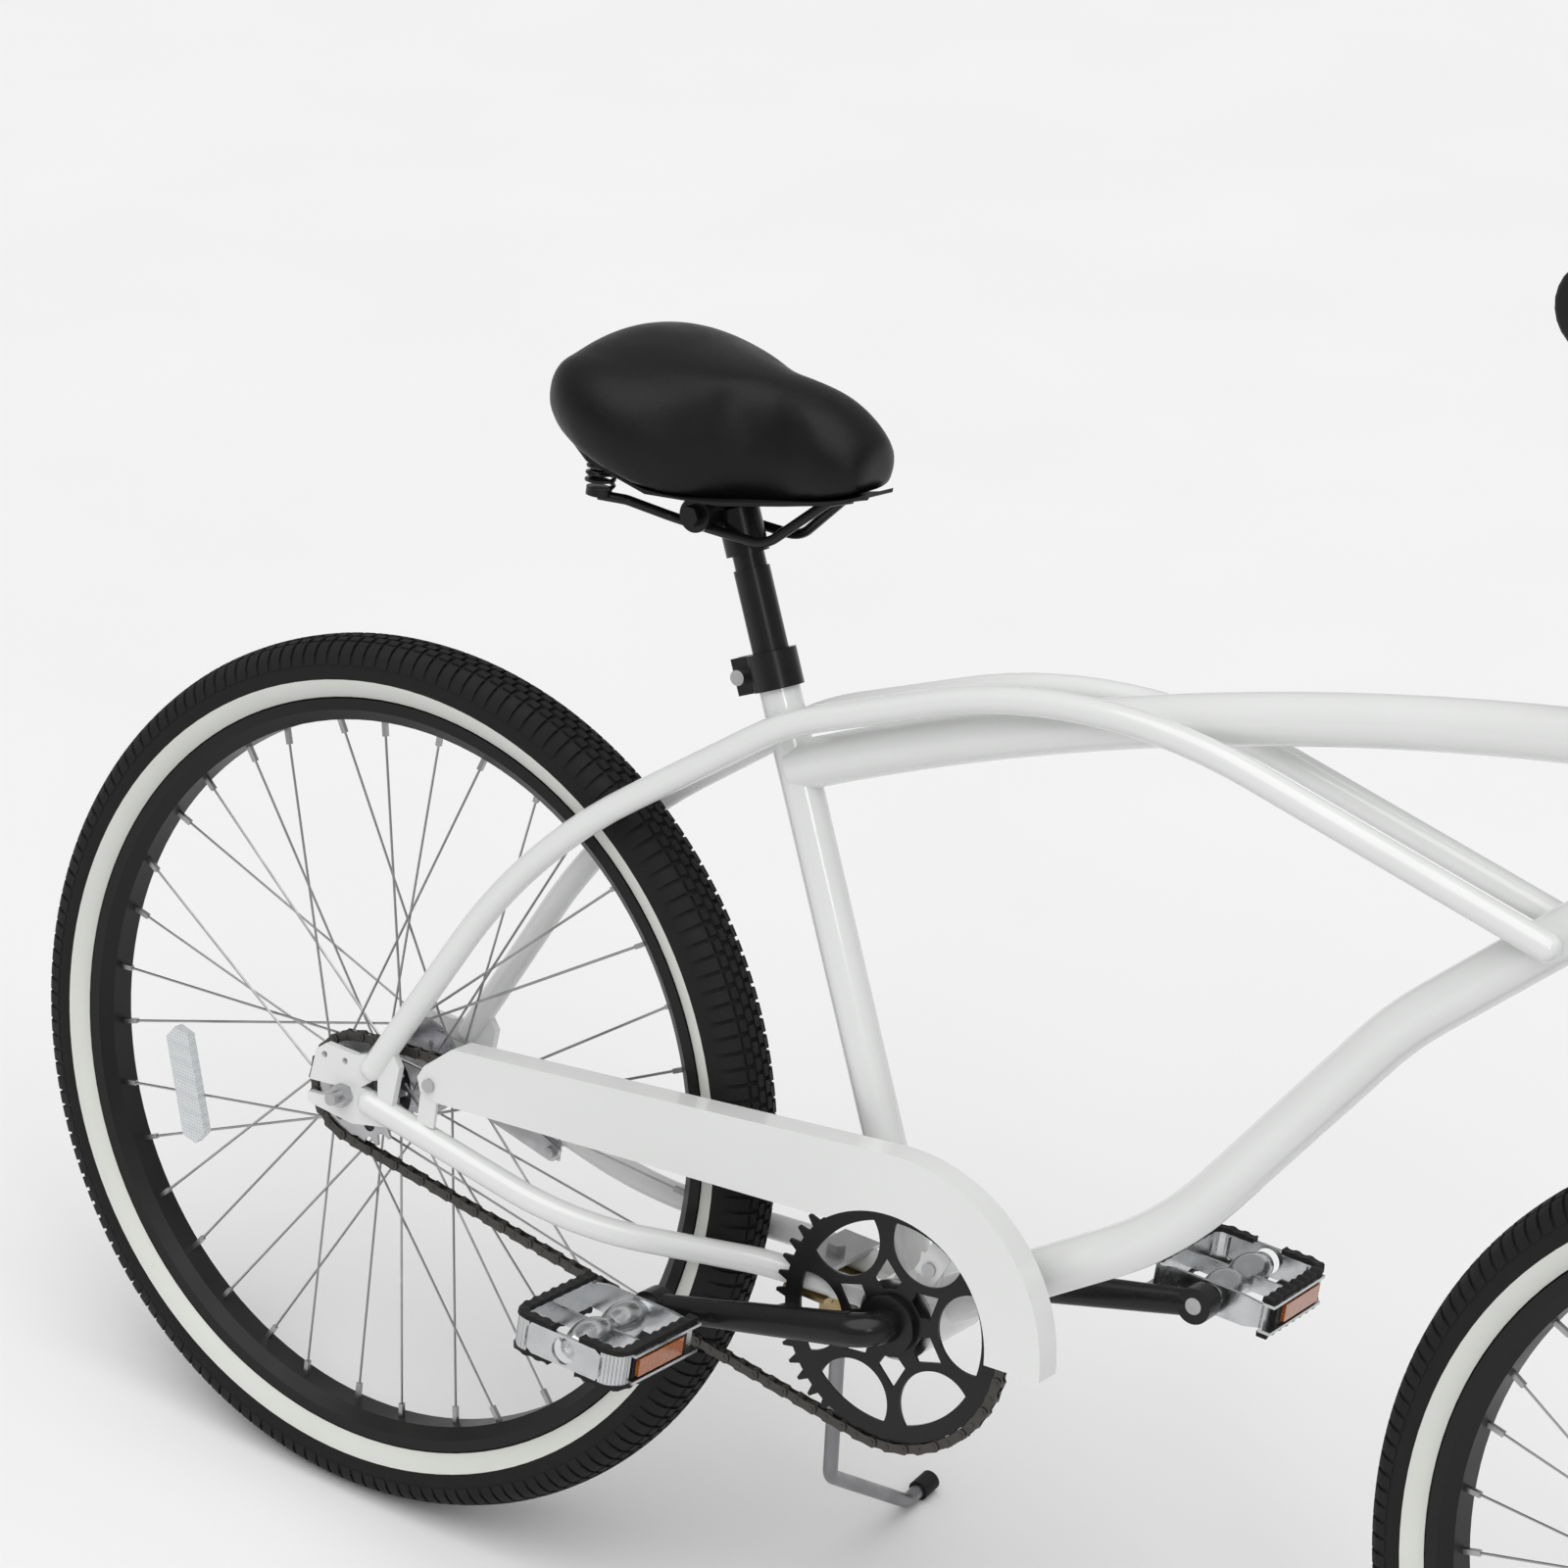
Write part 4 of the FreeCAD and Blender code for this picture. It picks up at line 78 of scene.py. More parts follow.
# %% Axle frames
def axle_frame(joint_name):
    """A matrix with its origin on a joint's axle and its Y along the axle."""
    joint = joints[joint_name]
    along = Vector(joint["axis"]).normalized()
    ahead = along.cross(Vector((0, 0, 1))).normalized()
    upward = ahead.cross(along)
    turn = Matrix((ahead, along, upward)).transposed().to_4x4()
    return Matrix.Translation(Vector(joint["pos_m"])) @ turn


rear_axle = axle_frame("rear_wheel_spin")
front_axle = axle_frame("front_wheel_spin")
crank_axle = axle_frame("crank_spin")
print("rear axle at", [round(v, 3) for v in rear_axle.translation])

# %% [markdown]
# Three effects are shared by many finishes, so each is a node group with named sockets. The first is a fine
# cloudy variation that breaks up a flat colour, the second is scattered wear with sharp little flecks, and
# the third is the dust that settles on surfaces that face up. A group only puts out values that change over
# the surface; the shader itself stays in each material.

# %% Shared node groups
def group(name, inputs, outputs):
    """An empty shader group with the given float inputs and outputs, and its two end nodes."""
    tree = bpy.data.node_groups.new(name, "ShaderNodeTree")
    for label, value in inputs:
        socket = tree.interface.new_socket(name=label, in_out="INPUT", socket_type="NodeSocketFloat")
        socket.default_value = value
    for label in outputs:
        tree.interface.new_socket(name=label, in_out="OUTPUT", socket_type="NodeSocketFloat")
    return tree, tree.nodes.new("NodeGroupInput"), tree.nodes.new("NodeGroupOutput")


def ranged(tree, value, low, high, to_low=0.0, to_high=1.0):
    """A map range node fed by a socket."""
    node = tree.nodes.new("ShaderNodeMapRange")
    node.inputs["From Min"].default_value = low
    node.inputs["From Max"].default_value = high
    node.inputs["To Min"].default_value = to_low
    node.inputs["To Max"].default_value = to_high
    tree.links.new(value, node.inputs["Value"])
    return node.outputs["Result"]


def cloud_group():
    tree, start, end = group("cloudy_variation", [("Scale", 40.0), ("Detail", 4.0)], ["Cloud", "Fine"])
    where = tree.nodes.new("ShaderNodeTexCoord")
    broad = tree.nodes.new("ShaderNodeTexNoise")
    fine = tree.nodes.new("ShaderNodeTexNoise")
    fine_scale = tree.nodes.new("ShaderNodeMath")
    fine_scale.operation = "MULTIPLY"
    fine_scale.inputs[1].default_value = 14.0
    tree.links.new(start.outputs["Scale"], broad.inputs["Scale"])
    tree.links.new(start.outputs["Detail"], broad.inputs["Detail"])
    tree.links.new(start.outputs["Scale"], fine_scale.inputs[0])
    tree.links.new(fine_scale.outputs[0], fine.inputs["Scale"])
    for noise in (broad, fine):
        tree.links.new(where.outputs["Object"], noise.inputs["Vector"])
    tree.links.new(broad.outputs["Fac"], end.inputs["Cloud"])
    tree.links.new(fine.outputs["Fac"], end.inputs["Fine"])
    return tree


def fleck_group():
    tree, start, end = group("scattered_wear", [("Scale", 90.0), ("Amount", 0.2)], ["Wear"])
    where = tree.nodes.new("ShaderNodeTexCoord")
    spots = tree.nodes.new("ShaderNodeTexNoise")
    spots.inputs["Detail"].default_value = 8.0
    spots.inputs["Roughness"].default_value = 0.7
    tree.links.new(where.outputs["Object"], spots.inputs["Vector"])
    tree.links.new(start.outputs["Scale"], spots.inputs["Scale"])
    worn = ranged(tree, spots.outputs["Fac"], 0.62, 0.74)
    scaled = tree.nodes.new("ShaderNodeMath")
    scaled.operation = "MULTIPLY"
    tree.links.new(worn, scaled.inputs[0])
    tree.links.new(start.outputs["Amount"], scaled.inputs[1])
    tree.links.new(scaled.outputs[0], end.inputs["Wear"])
    return tree


def dust_group():
    tree, start, end = group("settled_dust", [("Amount", 0.15)], ["Dust"])
    shape = tree.nodes.new("ShaderNodeNewGeometry")
    split = tree.nodes.new("ShaderNodeSeparateXYZ")
    where = tree.nodes.new("ShaderNodeTexCoord")
    patch = tree.nodes.new("ShaderNodeTexNoise")
    patch.inputs["Scale"].default_value = 18.0
    patch.inputs["Detail"].default_value = 6.0
    tree.links.new(shape.outputs["Normal"], split.inputs[0])
    tree.links.new(where.outputs["Object"], patch.inputs["Vector"])
    facing = ranged(tree, split.outputs["Z"], 0.35, 1.0)
    patchy = ranged(tree, patch.outputs["Fac"], 0.35, 0.7)
    both = tree.nodes.new("ShaderNodeMath")
    both.operation = "MULTIPLY"
    scaled = tree.nodes.new("ShaderNodeMath")
    scaled.operation = "MULTIPLY"
    tree.links.new(facing, both.inputs[0])
    tree.links.new(patchy, both.inputs[1])
    tree.links.new(both.outputs[0], scaled.inputs[0])
    tree.links.new(start.outputs["Amount"], scaled.inputs[1])
    tree.links.new(scaled.outputs[0], end.inputs["Dust"])
    return tree


CLOUD = cloud_group()
FLECK = fleck_group()
DUST = dust_group()
print("groups", [tree.name for tree in (CLOUD, FLECK, DUST)])

# %% [markdown]
# A finish is a base colour that drifts a little towards a second one, a roughness that drifts with it, a fine
# bump, flecks of wear and a breath of dust. One function lays those nodes out, and each finish below gives it
# its own numbers. What is the same all over, such as metalness or coat, is set on the shader's own sockets.

# %% Finish builder
DUST_COLOUR = (0.55, 0.53, 0.5)


def placed(material, tree, values):
    """A group node in a material, with its inputs set."""
    node = material.node_tree.nodes.new("ShaderNodeGroup")
    node.node_tree = tree
    for label, value in values.items():
        node.inputs[label].default_value = value
    return node


def blended(material, factor, first, second):
    """A colour mix; each side is a colour or a socket."""
    node = material.node_tree.nodes.new("ShaderNodeMix")
    node.data_type = "RGBA"
    material.node_tree.links.new(factor, node.inputs["Factor"])
    for label, value in (("A", first), ("B", second)):
        socket = [s for s in node.inputs if s.name == label and s.type == "RGBA"][0]
        if isinstance(value, tuple):
            socket.default_value = value + (1.0,)
        else:
            material.node_tree.links.new(value, socket)
    return [s for s in node.outputs if s.type == "RGBA"][0]


def finish(name, base, drift, rough, rough_drift, scale=30.0, bump=0.02, metal=0.0, coat=0.0, worn=None,
           wear=0.0, wear_scale=90.0, dust=0.0, specular=0.5):
    """A procedural finish: drifting colour and roughness, fine bump, flecks and dust."""
    material = bpy.data.materials.new(name)
    material.use_nodes = True
    tree = material.node_tree
    shader = tree.nodes["Principled BSDF"]
    shader.inputs["Metallic"].default_value = metal
    shader.inputs["Coat Weight"].default_value = coat
    shader.inputs["Coat Roughness"].default_value = 0.06
    shader.inputs["Specular IOR Level"].default_value = specular
    cloud = placed(material, CLOUD, {"Scale": scale, "Detail": 4.0})
    colour = blended(material, cloud.outputs["Cloud"], base, drift)
    if wear > 0.0:
        fleck = placed(material, FLECK, {"Scale": wear_scale, "Amount": wear})
        colour = blended(material, fleck.outputs["Wear"], colour, worn)
    if dust > 0.0:
        settled = placed(material, DUST, {"Amount": dust})
        colour = blended(material, settled.outputs["Dust"], colour, DUST_COLOUR)
    tree.links.new(colour, shader.inputs["Base Color"])
    roughness = ranged(tree, cloud.outputs["Cloud"], 0.3, 0.7, rough, rough_drift)
    tree.links.new(roughness, shader.inputs["Roughness"])
    relief = tree.nodes.new("ShaderNodeBump")
    relief.inputs["Strength"].default_value = bump
    relief.inputs["Distance"].default_value = 0.001
    tree.links.new(cloud.outputs["Fine"], relief.inputs["Height"])
    tree.links.new(relief.outputs["Normal"], shader.inputs["Normal"])
    return material


white_paint = finish("gloss_white_paint", (0.80, 0.81, 0.80), (0.74, 0.75, 0.74), 0.16, 0.24, scale=9.0,
                     bump=0.01, coat=0.5, worn=(0.55, 0.54, 0.5), wear=0.05, wear_scale=240.0, dust=0.05)
black_paint = finish("gloss_black_paint", (0.006, 0.006, 0.006), (0.010, 0.010, 0.010), 0.2, 0.32, scale=14.0,
                     bump=0.015, worn=(0.06, 0.06, 0.06), wear=0.10, wear_scale=260.0, dust=0.01,
                     specular=0.3)
black_rim = finish("satin_black_rim", (0.008, 0.008, 0.008), (0.013, 0.013, 0.013), 0.32, 0.44, scale=16.0,
                   bump=0.02, worn=(0.06, 0.06, 0.06), wear=0.08, wear_scale=200.0, dust=0.02, specular=0.22)
zinc_steel = finish("zinc_plated_steel", (0.56, 0.56, 0.57), (0.42, 0.42, 0.43), 0.24, 0.42, scale=60.0,
                    bump=0.04, metal=1.0, worn=(0.25, 0.22, 0.18), wear=0.2, wear_scale=300.0)
hub_steel = finish("polished_hub_steel", (0.42, 0.42, 0.44), (0.32, 0.32, 0.33), 0.2, 0.34, scale=50.0,
                   bump=0.03, metal=1.0, worn=(0.2, 0.19, 0.17), wear=0.2, wear_scale=260.0)
spoke_steel = finish("drawn_spoke_steel", (0.46, 0.46, 0.46), (0.34, 0.34, 0.34), 0.26, 0.4, scale=80.0,
                     bump=0.02, metal=1.0)
chain_steel = finish("oiled_chain_steel", (0.058, 0.055, 0.051), (0.105, 0.099, 0.092), 0.3, 0.5, scale=160.0,
                     bump=0.06, metal=0.85, worn=(0.25, 0.24, 0.22), wear=0.3, wear_scale=420.0)
brassy_steel = finish("yellow_plated_steel", (0.42, 0.33, 0.17), (0.34, 0.25, 0.12), 0.26, 0.42, scale=60.0,
                      bump=0.03, metal=1.0, worn=(0.3, 0.28, 0.22), wear=0.2, wear_scale=240.0)
stand_alloy = finish("satin_stand_alloy", (0.30, 0.30, 0.31), (0.24, 0.24, 0.25), 0.32, 0.46, scale=40.0,
                     bump=0.04, metal=1.0, worn=(0.5, 0.5, 0.5), wear=0.15, wear_scale=200.0)
pedal_alloy = finish("polished_pedal_alloy", (0.62, 0.63, 0.64), (0.5, 0.51, 0.52), 0.16, 0.32, scale=70.0,
                     bump=0.05, metal=1.0, worn=(0.3, 0.3, 0.3), wear=0.15, wear_scale=260.0)
black_rubber = finish("moulded_black_rubber", (0.009, 0.009, 0.009), (0.015, 0.015, 0.015), 0.5, 0.7,
                      scale=90.0, bump=0.1, worn=(0.05, 0.05, 0.05), wear=0.12, wear_scale=300.0,
                      dust=0.02, specular=0.2)
tyre_black = finish("tyre_black_rubber", (0.009, 0.009, 0.009), (0.015, 0.015, 0.015), 0.6, 0.8, scale=60.0,
                    bump=0.12, worn=(0.04, 0.04, 0.04), wear=0.15, wear_scale=180.0, dust=0.015, specular=0.2)
whitewall = finish("whitewall_rubber", (0.72, 0.73, 0.69), (0.66, 0.67, 0.63), 0.5, 0.66, scale=24.0,
                   bump=0.05, worn=(0.3, 0.3, 0.28), wear=0.2, wear_scale=120.0)
black_plastic = finish("black_plastic", (0.009, 0.009, 0.009), (0.014, 0.014, 0.014), 0.42, 0.6, scale=70.0,
                       bump=0.05, dust=0.02, specular=0.25)
print("finishes", len(bpy.data.materials))

# %% [markdown]
# Two lenses need their own look. A reflector is clear plastic over rows of tiny prisms, so a brick-like cell
# pattern in the bump makes it sparkle, and its colour varies from cell to cell.

# %% Reflector lenses
def lens(name, base, drift):
    """Clear plastic over tiny prisms."""
    material = finish(name, base, drift, 0.08, 0.16, scale=120.0, bump=0.0, coat=1.0)
    tree = material.node_tree
    shader = tree.nodes["Principled BSDF"]
    where = tree.nodes.new("ShaderNodeTexCoord")
    cells = tree.nodes.new("ShaderNodeTexVoronoi")
    cells.inputs["Scale"].default_value = 420.0
    cells.inputs["Randomness"].default_value = 0.15
    tree.links.new(where.outputs["Object"], cells.inputs["Vector"])
    prisms = tree.nodes.new("ShaderNodeBump")
    prisms.inputs["Strength"].default_value = 0.6
    prisms.inputs["Distance"].default_value = 0.002
    tree.links.new(cells.outputs["Distance"], prisms.inputs["Height"])
    tree.links.new(prisms.outputs["Normal"], shader.inputs["Normal"])
    depth = ranged(tree, cells.outputs["Distance"], 0.0, 0.7)
    tree.links.new(blended(material, depth, base, drift), shader.inputs["Base Color"])
    return material


amber_lens = lens("amber_reflector_lens", (0.62, 0.17, 0.01), (0.26, 0.05, 0.004))
clear_lens = lens("clear_reflector_lens", (0.82, 0.84, 0.84), (0.55, 0.58, 0.6))
print("lenses made")

# %% [markdown]
# The frame's own nodes keep their shapes, and only take a finish. A table says which finish goes on which
# pieces, so that it reads like a parts list.

# %% Finishes on the frame's nodes
PAINT_SHOP = {
    "bottom_bracket_shell seat_tube head_tube top_tube down_tube stringer_stays chainstays": white_paint,
    "left_dropout right_dropout chain_guard fork_steerer left_fork_blade right_fork_blade": white_paint,
    "seat_clamp crank chainring seatpost handlebar stem": black_paint,
    "saddle_clamp saddle_rails saddle_springs": black_paint,
    "front_rim rear_rim": black_rim,
    "frame_bolts headset_cups headset_locknut bottom_bracket_cups crank_cones front_axle": zinc_steel,
    "front_axle_nuts rear_axle coaster_brake_arm brake_arm_clip": zinc_steel,
    "kickstand_top_plate pedal_axles rear_sprocket": zinc_steel,
    "front_hub rear_hub": hub_steel,
    "front_spokes rear_spokes": spoke_steel,
    "chain": chain_steel,
    "kickstand_bracket": brassy_steel,
    "kickstand_leg": stand_alloy,
    "kickstand_foot grips front_valve rear_valve left_pedal_treads right_pedal_treads": black_rubber,
    "front_tyre rear_tyre": tyre_black,
    "left_pedal_cage right_pedal_cage": pedal_alloy,
    "left_pedal_reflectors right_pedal_reflectors": amber_lens,
    "front_reflector rear_reflector": clear_lens,
    "saddle_cover saddle_base": black_plastic,
}
for names, material in PAINT_SHOP.items():
    for name in names.split():
        mesh = nodes[name].data
        mesh.materials.clear()
        mesh.materials.append(material)
print("finished", sum(len(names.split()) for names in PAINT_SHOP), "nodes")

# %% [markdown]
# New pieces all go the same way into the scene: a bmesh becomes a mesh, its normals point outwards, faces are
# smooth except over sharp edges, and the piece rides on a body and may stand for a CAD node.

# %% Putting a piece in the scene
def put(name, shape, body, materials, stands_for=(), sharp=35.0):
    """Turns a bmesh into an object at the origin that rides on a body."""
    bmesh.ops.recalc_face_normals(shape, faces=shape.faces)
    mesh = bpy.data.meshes.new(name)
    shape.to_mesh(mesh)
    shape.free()
    for material in materials:
        mesh.materials.append(material)
    mesh.shade_smooth()
    mesh.set_sharp_from_angle(angle=math.radians(sharp))
    piece = bpy.data.objects.new(name, mesh)
    bpy.context.scene.collection.objects.link(piece)
    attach(piece, body)
    if stands_for:
        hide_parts(*stands_for)
    print(name, "faces", len(mesh.polygons))
    return piece


# %% [markdown]
# The balloon tyre is a spun profile. Its sidewall carries the white band, which is a ring of faces with its
# own material, and the tread is rows of small rubber blocks: on each side long shoulder lugs with narrow
# gaps, and two staggered rows of square blocks. One block of each row is modelled and spun round as copies.

# %% Tyres
TYRE_OUTLINE = [  # half of the section: sideways, radius, in millimetres
    (11.9, 279.9), (15.2, 279.9), (15.3, 286.2), (17.2, 287.2), (20.6, 291.0), (23.4, 296.0), (24.9, 301.0),
    (25.0, 301.7), (25.5, 306.0), (25.2, 311.5), (23.2, 317.5), (18.6, 323.4), (11.0, 327.4), (0.0, 329.0),
]
TYRE_INSIDE = [(22.4, 303.0), (14.0, 320.0), (0.0, 325.0)]
BAND_INNER, BAND_OUTER = 287.2, 300.9  # radii of the white band
SIDEWALL = 15.8  # the outer sidewall lies further out than this
SHOULDER_LUG = [(24.4, 311.5), (25.6, 312.0), (23.9, 319.6), (19.4, 325.4), (15.6, 327.6), (15.0, 325.0),
                (18.4, 322.0)]
INNER_KNOB = [(1.0, 328.0), (1.2, 331.2), (6.6, 330.8), (7.2, 327.6)]
OUTER_KNOB = [(8.4, 327.2), (8.6, 330.2), (13.4, 328.6), (13.8, 325.6)]
TREAD_ROWS = [(SHOULDER_LUG, 0.38, False), (INNER_KNOB, 0.36, True), (OUTER_KNOB, 0.34, False)]
LUGS = 176
TYRE_STEPS = 128


def ring_block(shape, corners, half_angle):
    """One tread block: a side outline in (sideways, radius), pushed round the wheel by a small angle."""
    ends = []
    for turn in (-half_angle, half_angle):
        ring = []
        for side, radius in corners:
            spot = Vector((radius * math.cos(turn), side, radius * math.sin(turn))) / 1000
            ring.append(shape.verts.new(spot))
        ends.append(ring)
    first = shape.faces.new(ends[0])
    second = shape.faces.new(list(reversed(ends[1])))
    edges = list(first.edges) + list(second.edges)
    made = bmesh.ops.bridge_loops(shape, edges=edges)
    return ends[0] + ends[1], [first, second] + made["faces"]


def spun_row(shape, corners, half_angle, offset):
    """A whole row of equal blocks round the tyre."""
    verts, faces = ring_block(shape, corners, half_angle)
    bmesh.ops.rotate(shape, verts=verts, cent=(0, 0, 0), matrix=Matrix.Rotation(offset, 3, "Y"))
    geometry = verts + list({edge for face in faces for edge in face.edges}) + faces
    bmesh.ops.spin(shape, geom=geometry, cent=(0, 0, 0), axis=(0, 1, 0), angle=math.tau * (LUGS - 1) / LUGS,
                   steps=LUGS - 1, use_duplicate=True, use_merge=False)


def tyre(name, node, body, axle):
    """A treaded tyre with a white band on each side."""
    shape = bmesh.new()
    half = TYRE_OUTLINE + [(-side, radius) for side, radius in reversed(TYRE_OUTLINE[:-1])]
    inside = [(-side, radius) for side, radius in TYRE_INSIDE[:-1]]
    inside += [(side, radius) for side, radius in reversed(TYRE_INSIDE)]
    section = [shape.verts.new((radius / 1000, side / 1000, 0.0)) for side, radius in half + inside]
    edges = [shape.edges.new((a, b)) for a, b in zip(section, section[1:] + section[:1])]
    bmesh.ops.spin(shape, geom=section + edges, cent=(0, 0, 0), axis=(0, 1, 0), angle=math.tau,
                   steps=TYRE_STEPS, use_merge=True)
    for face in shape.faces:
        centre = face.calc_center_median()
        radius = math.hypot(centre.x, centre.z) * 1000
        if BAND_INNER < radius < BAND_OUTER and abs(centre.y) * 1000 > SIDEWALL:
            face.material_index = 1
    step = math.tau / LUGS
    for side in (1, -1):
        for corners, share, staggered in TREAD_ROWS:
            offset = step / 2 if staggered == (side > 0) else 0.0
            spun_row(shape, [(side * a, b) for a, b in corners], step * share, offset)
    bmesh.ops.transform(shape, matrix=axle, verts=shape.verts)
    put(name, shape, body, [tyre_black, whitewall], [node], sharp=40.0)


tyre("rear_treaded_tyre", "rear_tyre", "rear_wheel", rear_axle)
tyre("front_treaded_tyre", "front_tyre", "front_wheel", front_axle)

# %% [markdown]
# The chain is a row of links round both sprockets. The solids already hold each link as a plain shape, so
# here the plates get their waisted outline, with rollers between them and rivet heads outside. The path is
# two arcs and two straight runs, and the pins are set along it by length.

# %% Chain path
PITCH = 0.0127
LINKS = 106
RING_TEETH = 44
COG_TEETH = 20
CHAIN_LINE = 0.0435


def polar(radius, turn):
    """A step in the plane of the wheel, of a given length and heading."""
    return Vector((radius * math.cos(turn), 0.0, radius * math.sin(turn)))


def chain_pins():
    """Pins of the chain in the rear axle's frame, in order along it."""
    ring_radius = PITCH / (2 * math.sin(math.pi / RING_TEETH))
    cog_radius = PITCH / (2 * math.sin(math.pi / COG_TEETH))
    to_ring = rear_axle.inverted() @ crank_axle.translation
    gap = math.hypot(to_ring.x, to_ring.z)
    slope = math.atan2(to_ring.z, to_ring.x)
    lean = math.asin((ring_radius - cog_radius) / gap)
    run = gap * math.cos(lean)
    ring_arc = (math.pi + 2 * lean) * RING_TEETH * PITCH / math.tau
    cog_arc = (math.pi - 2 * lean) * COG_TEETH * PITCH / math.tau
    step = (2 * run + ring_arc + cog_arc) / LINKS
    top = slope + math.pi / 2 + lean
    low = slope - math.pi / 2 - lean
    cog = Vector((0.0, -CHAIN_LINE, 0.0))
    ring = Vector((to_ring.x, -CHAIN_LINE, to_ring.z))
    spots = []
    for link in range(LINKS):
        way = link * step
        if way < run:
            spots.append(cog + polar(cog_radius, top) + polar(way, top - math.pi / 2))
        elif way < run + ring_arc:
            turn = top - (way - run) / ring_arc * (math.pi + 2 * lean)
            spots.append(ring + polar(ring_radius, turn))
        elif way < 2 * run + ring_arc:
            spots.append(ring + polar(ring_radius, low) + polar(way - run - ring_arc, low - math.pi / 2))
        else:
            turn = low - (way - 2 * run - ring_arc) / cog_arc * (math.pi - 2 * lean)
            spots.append(cog + polar(cog_radius, turn))
    return spots


pins = chain_pins()
print("chain pins", len(pins), "first pitch mm", round((pins[1] - pins[0]).length * 1000, 3))

# %% [markdown]
# A side plate starts as a disc. Its two halves are pulled apart to the pitch and the middle is pinched in,
# and the flat shape is extruded to the plate's thickness. A link is two such plates; inner links carry two
# rollers, and every pin has a rivet head on both outer plates.

# %% Chain links
PLATE = 0.001
PLATE_HALF_HEIGHT = 0.0042
INNER_FACE = 0.00165
OUTER_FACE = 0.00268
ROLLER_RADIUS = 0.0038
RIVET_RADIUS = 0.0019
RIVET_END = 0.00405


def side_plate(shape, low):
    """A waisted plate in the link's own frame, from its low side along Y."""
    made = bmesh.ops.create_circle(shape, cap_ends=True, segments=14, radius=PLATE_HALF_HEIGHT)
    verts = made["verts"]
    for vert in verts:
        if abs(vert.co.x) < PLATE_HALF_HEIGHT * 0.15:
            vert.co.y *= 0.74
        else:
            vert.co.x += math.copysign(PITCH / 2, vert.co.x)
    bmesh.ops.rotate(shape, verts=verts, cent=(0, 0, 0), matrix=Matrix.Rotation(math.pi / 2, 3, "X"))
    bmesh.ops.translate(shape, verts=verts, vec=(0, low, 0))
    faces = list({face for vert in verts for face in vert.link_faces})
    raised = bmesh.ops.extrude_face_region(shape, geom=faces, use_keep_orig=True)
    tops = [item for item in raised["geom"] if isinstance(item, bmesh.types.BMVert)]
    bmesh.ops.translate(shape, verts=tops, vec=(0, PLATE, 0))


def drum(shape, x, low, high, radius, sides):
    """A short round piece along Y at a place on the link."""
    turn = Matrix.Translation((x, (low + high) / 2, 0)) @ Matrix.Rotation(math.pi / 2, 4, "X")
    bmesh.ops.create_cone(shape, cap_ends=True, segments=sides, radius1=radius, radius2=radius,
                          depth=high - low, matrix=turn)


def link_mesh(inner):
    """One link: two plates, with rollers between inner plates and rivet heads on outer ones."""
    shape = bmesh.new()
    face = INNER_FACE if inner else OUTER_FACE
    side_plate(shape, face)
    side_plate(shape, -face - PLATE)
    for x in (-PITCH / 2, PITCH / 2):
        if inner:
            drum(shape, x, -face, face, ROLLER_RADIUS, 14)
        else:
            drum(shape, x, face + PLATE, RIVET_END, RIVET_RADIUS, 8)
            drum(shape, x, -RIVET_END, -face - PLATE, RIVET_RADIUS, 8)
    mesh = bpy.data.meshes.new("link_pattern")
    shape.to_mesh(mesh)
    shape.free()
    return mesh


def chain_piece():
    """All the links in one piece, inner and outer in turn."""
    whole = bmesh.new()
    patterns = [link_mesh(True), link_mesh(False)]
    for index, pin in enumerate(pins):
        following = pins[(index + 1) % LINKS]
        along = (following - pin).normalized()
        upward = along.cross(Vector((0, 1, 0)))
        turn = Matrix((along, Vector((0, 1, 0)), upward)).transposed().to_4x4()
        before = len(whole.verts)
        whole.from_mesh(patterns[index % 2])
        whole.verts.ensure_lookup_table()
        place = rear_axle @ Matrix.Translation((pin + following) / 2) @ turn
        bmesh.ops.transform(whole, matrix=place, verts=whole.verts[before:])
    for pattern in patterns:
        bpy.data.meshes.remove(pattern)
    put("roller_chain", whole, "frame", [chain_steel], ["chain"], sharp=30.0)


chain_piece()

# %% [markdown]
# A cruiser pedal is a bright moulded cage. Two channel rails hold amber reflectors in black trays, the outer
# plate has a round hole, a barrel with two swellings covers the axle, and black tread strips lie along the
# rails and turn the outer corners. Everything is drawn in the pedal's own frame, with its sizes measured from
# the frame's plain cage, and the right pedal is the mirror of the left.

# %% Pedal pieces
WALL = 0.003
CORNER = 0.014
STRIP_RISE = 0.0038
STRIP_PITCH = 0.0026
STRIP_HALF = 0.0042
HOLE_STEPS = 32


def local_box(name, place):
    """The low and high corners of a node in another frame of reference."""
    back = place.inverted()
    spots = [back @ vert.co for vert in nodes[name].data.vertices]
    low = Vector([min(spot[axis] for spot in spots) for axis in range(3)])
    high = Vector([max(spot[axis] for spot in spots) for axis in range(3)])
    return low, high


def pushed(shape, outline, step):
    """A prism: a closed outline pushed along a step."""
    face = shape.faces.new([shape.verts.new(spot) for spot in outline])
    made = bmesh.ops.extrude_face_region(shape, geom=[face], use_keep_orig=True)
    tops = [item for item in made["geom"] if isinstance(item, bmesh.types.BMVert)]
    bmesh.ops.translate(shape, verts=tops, vec=step)


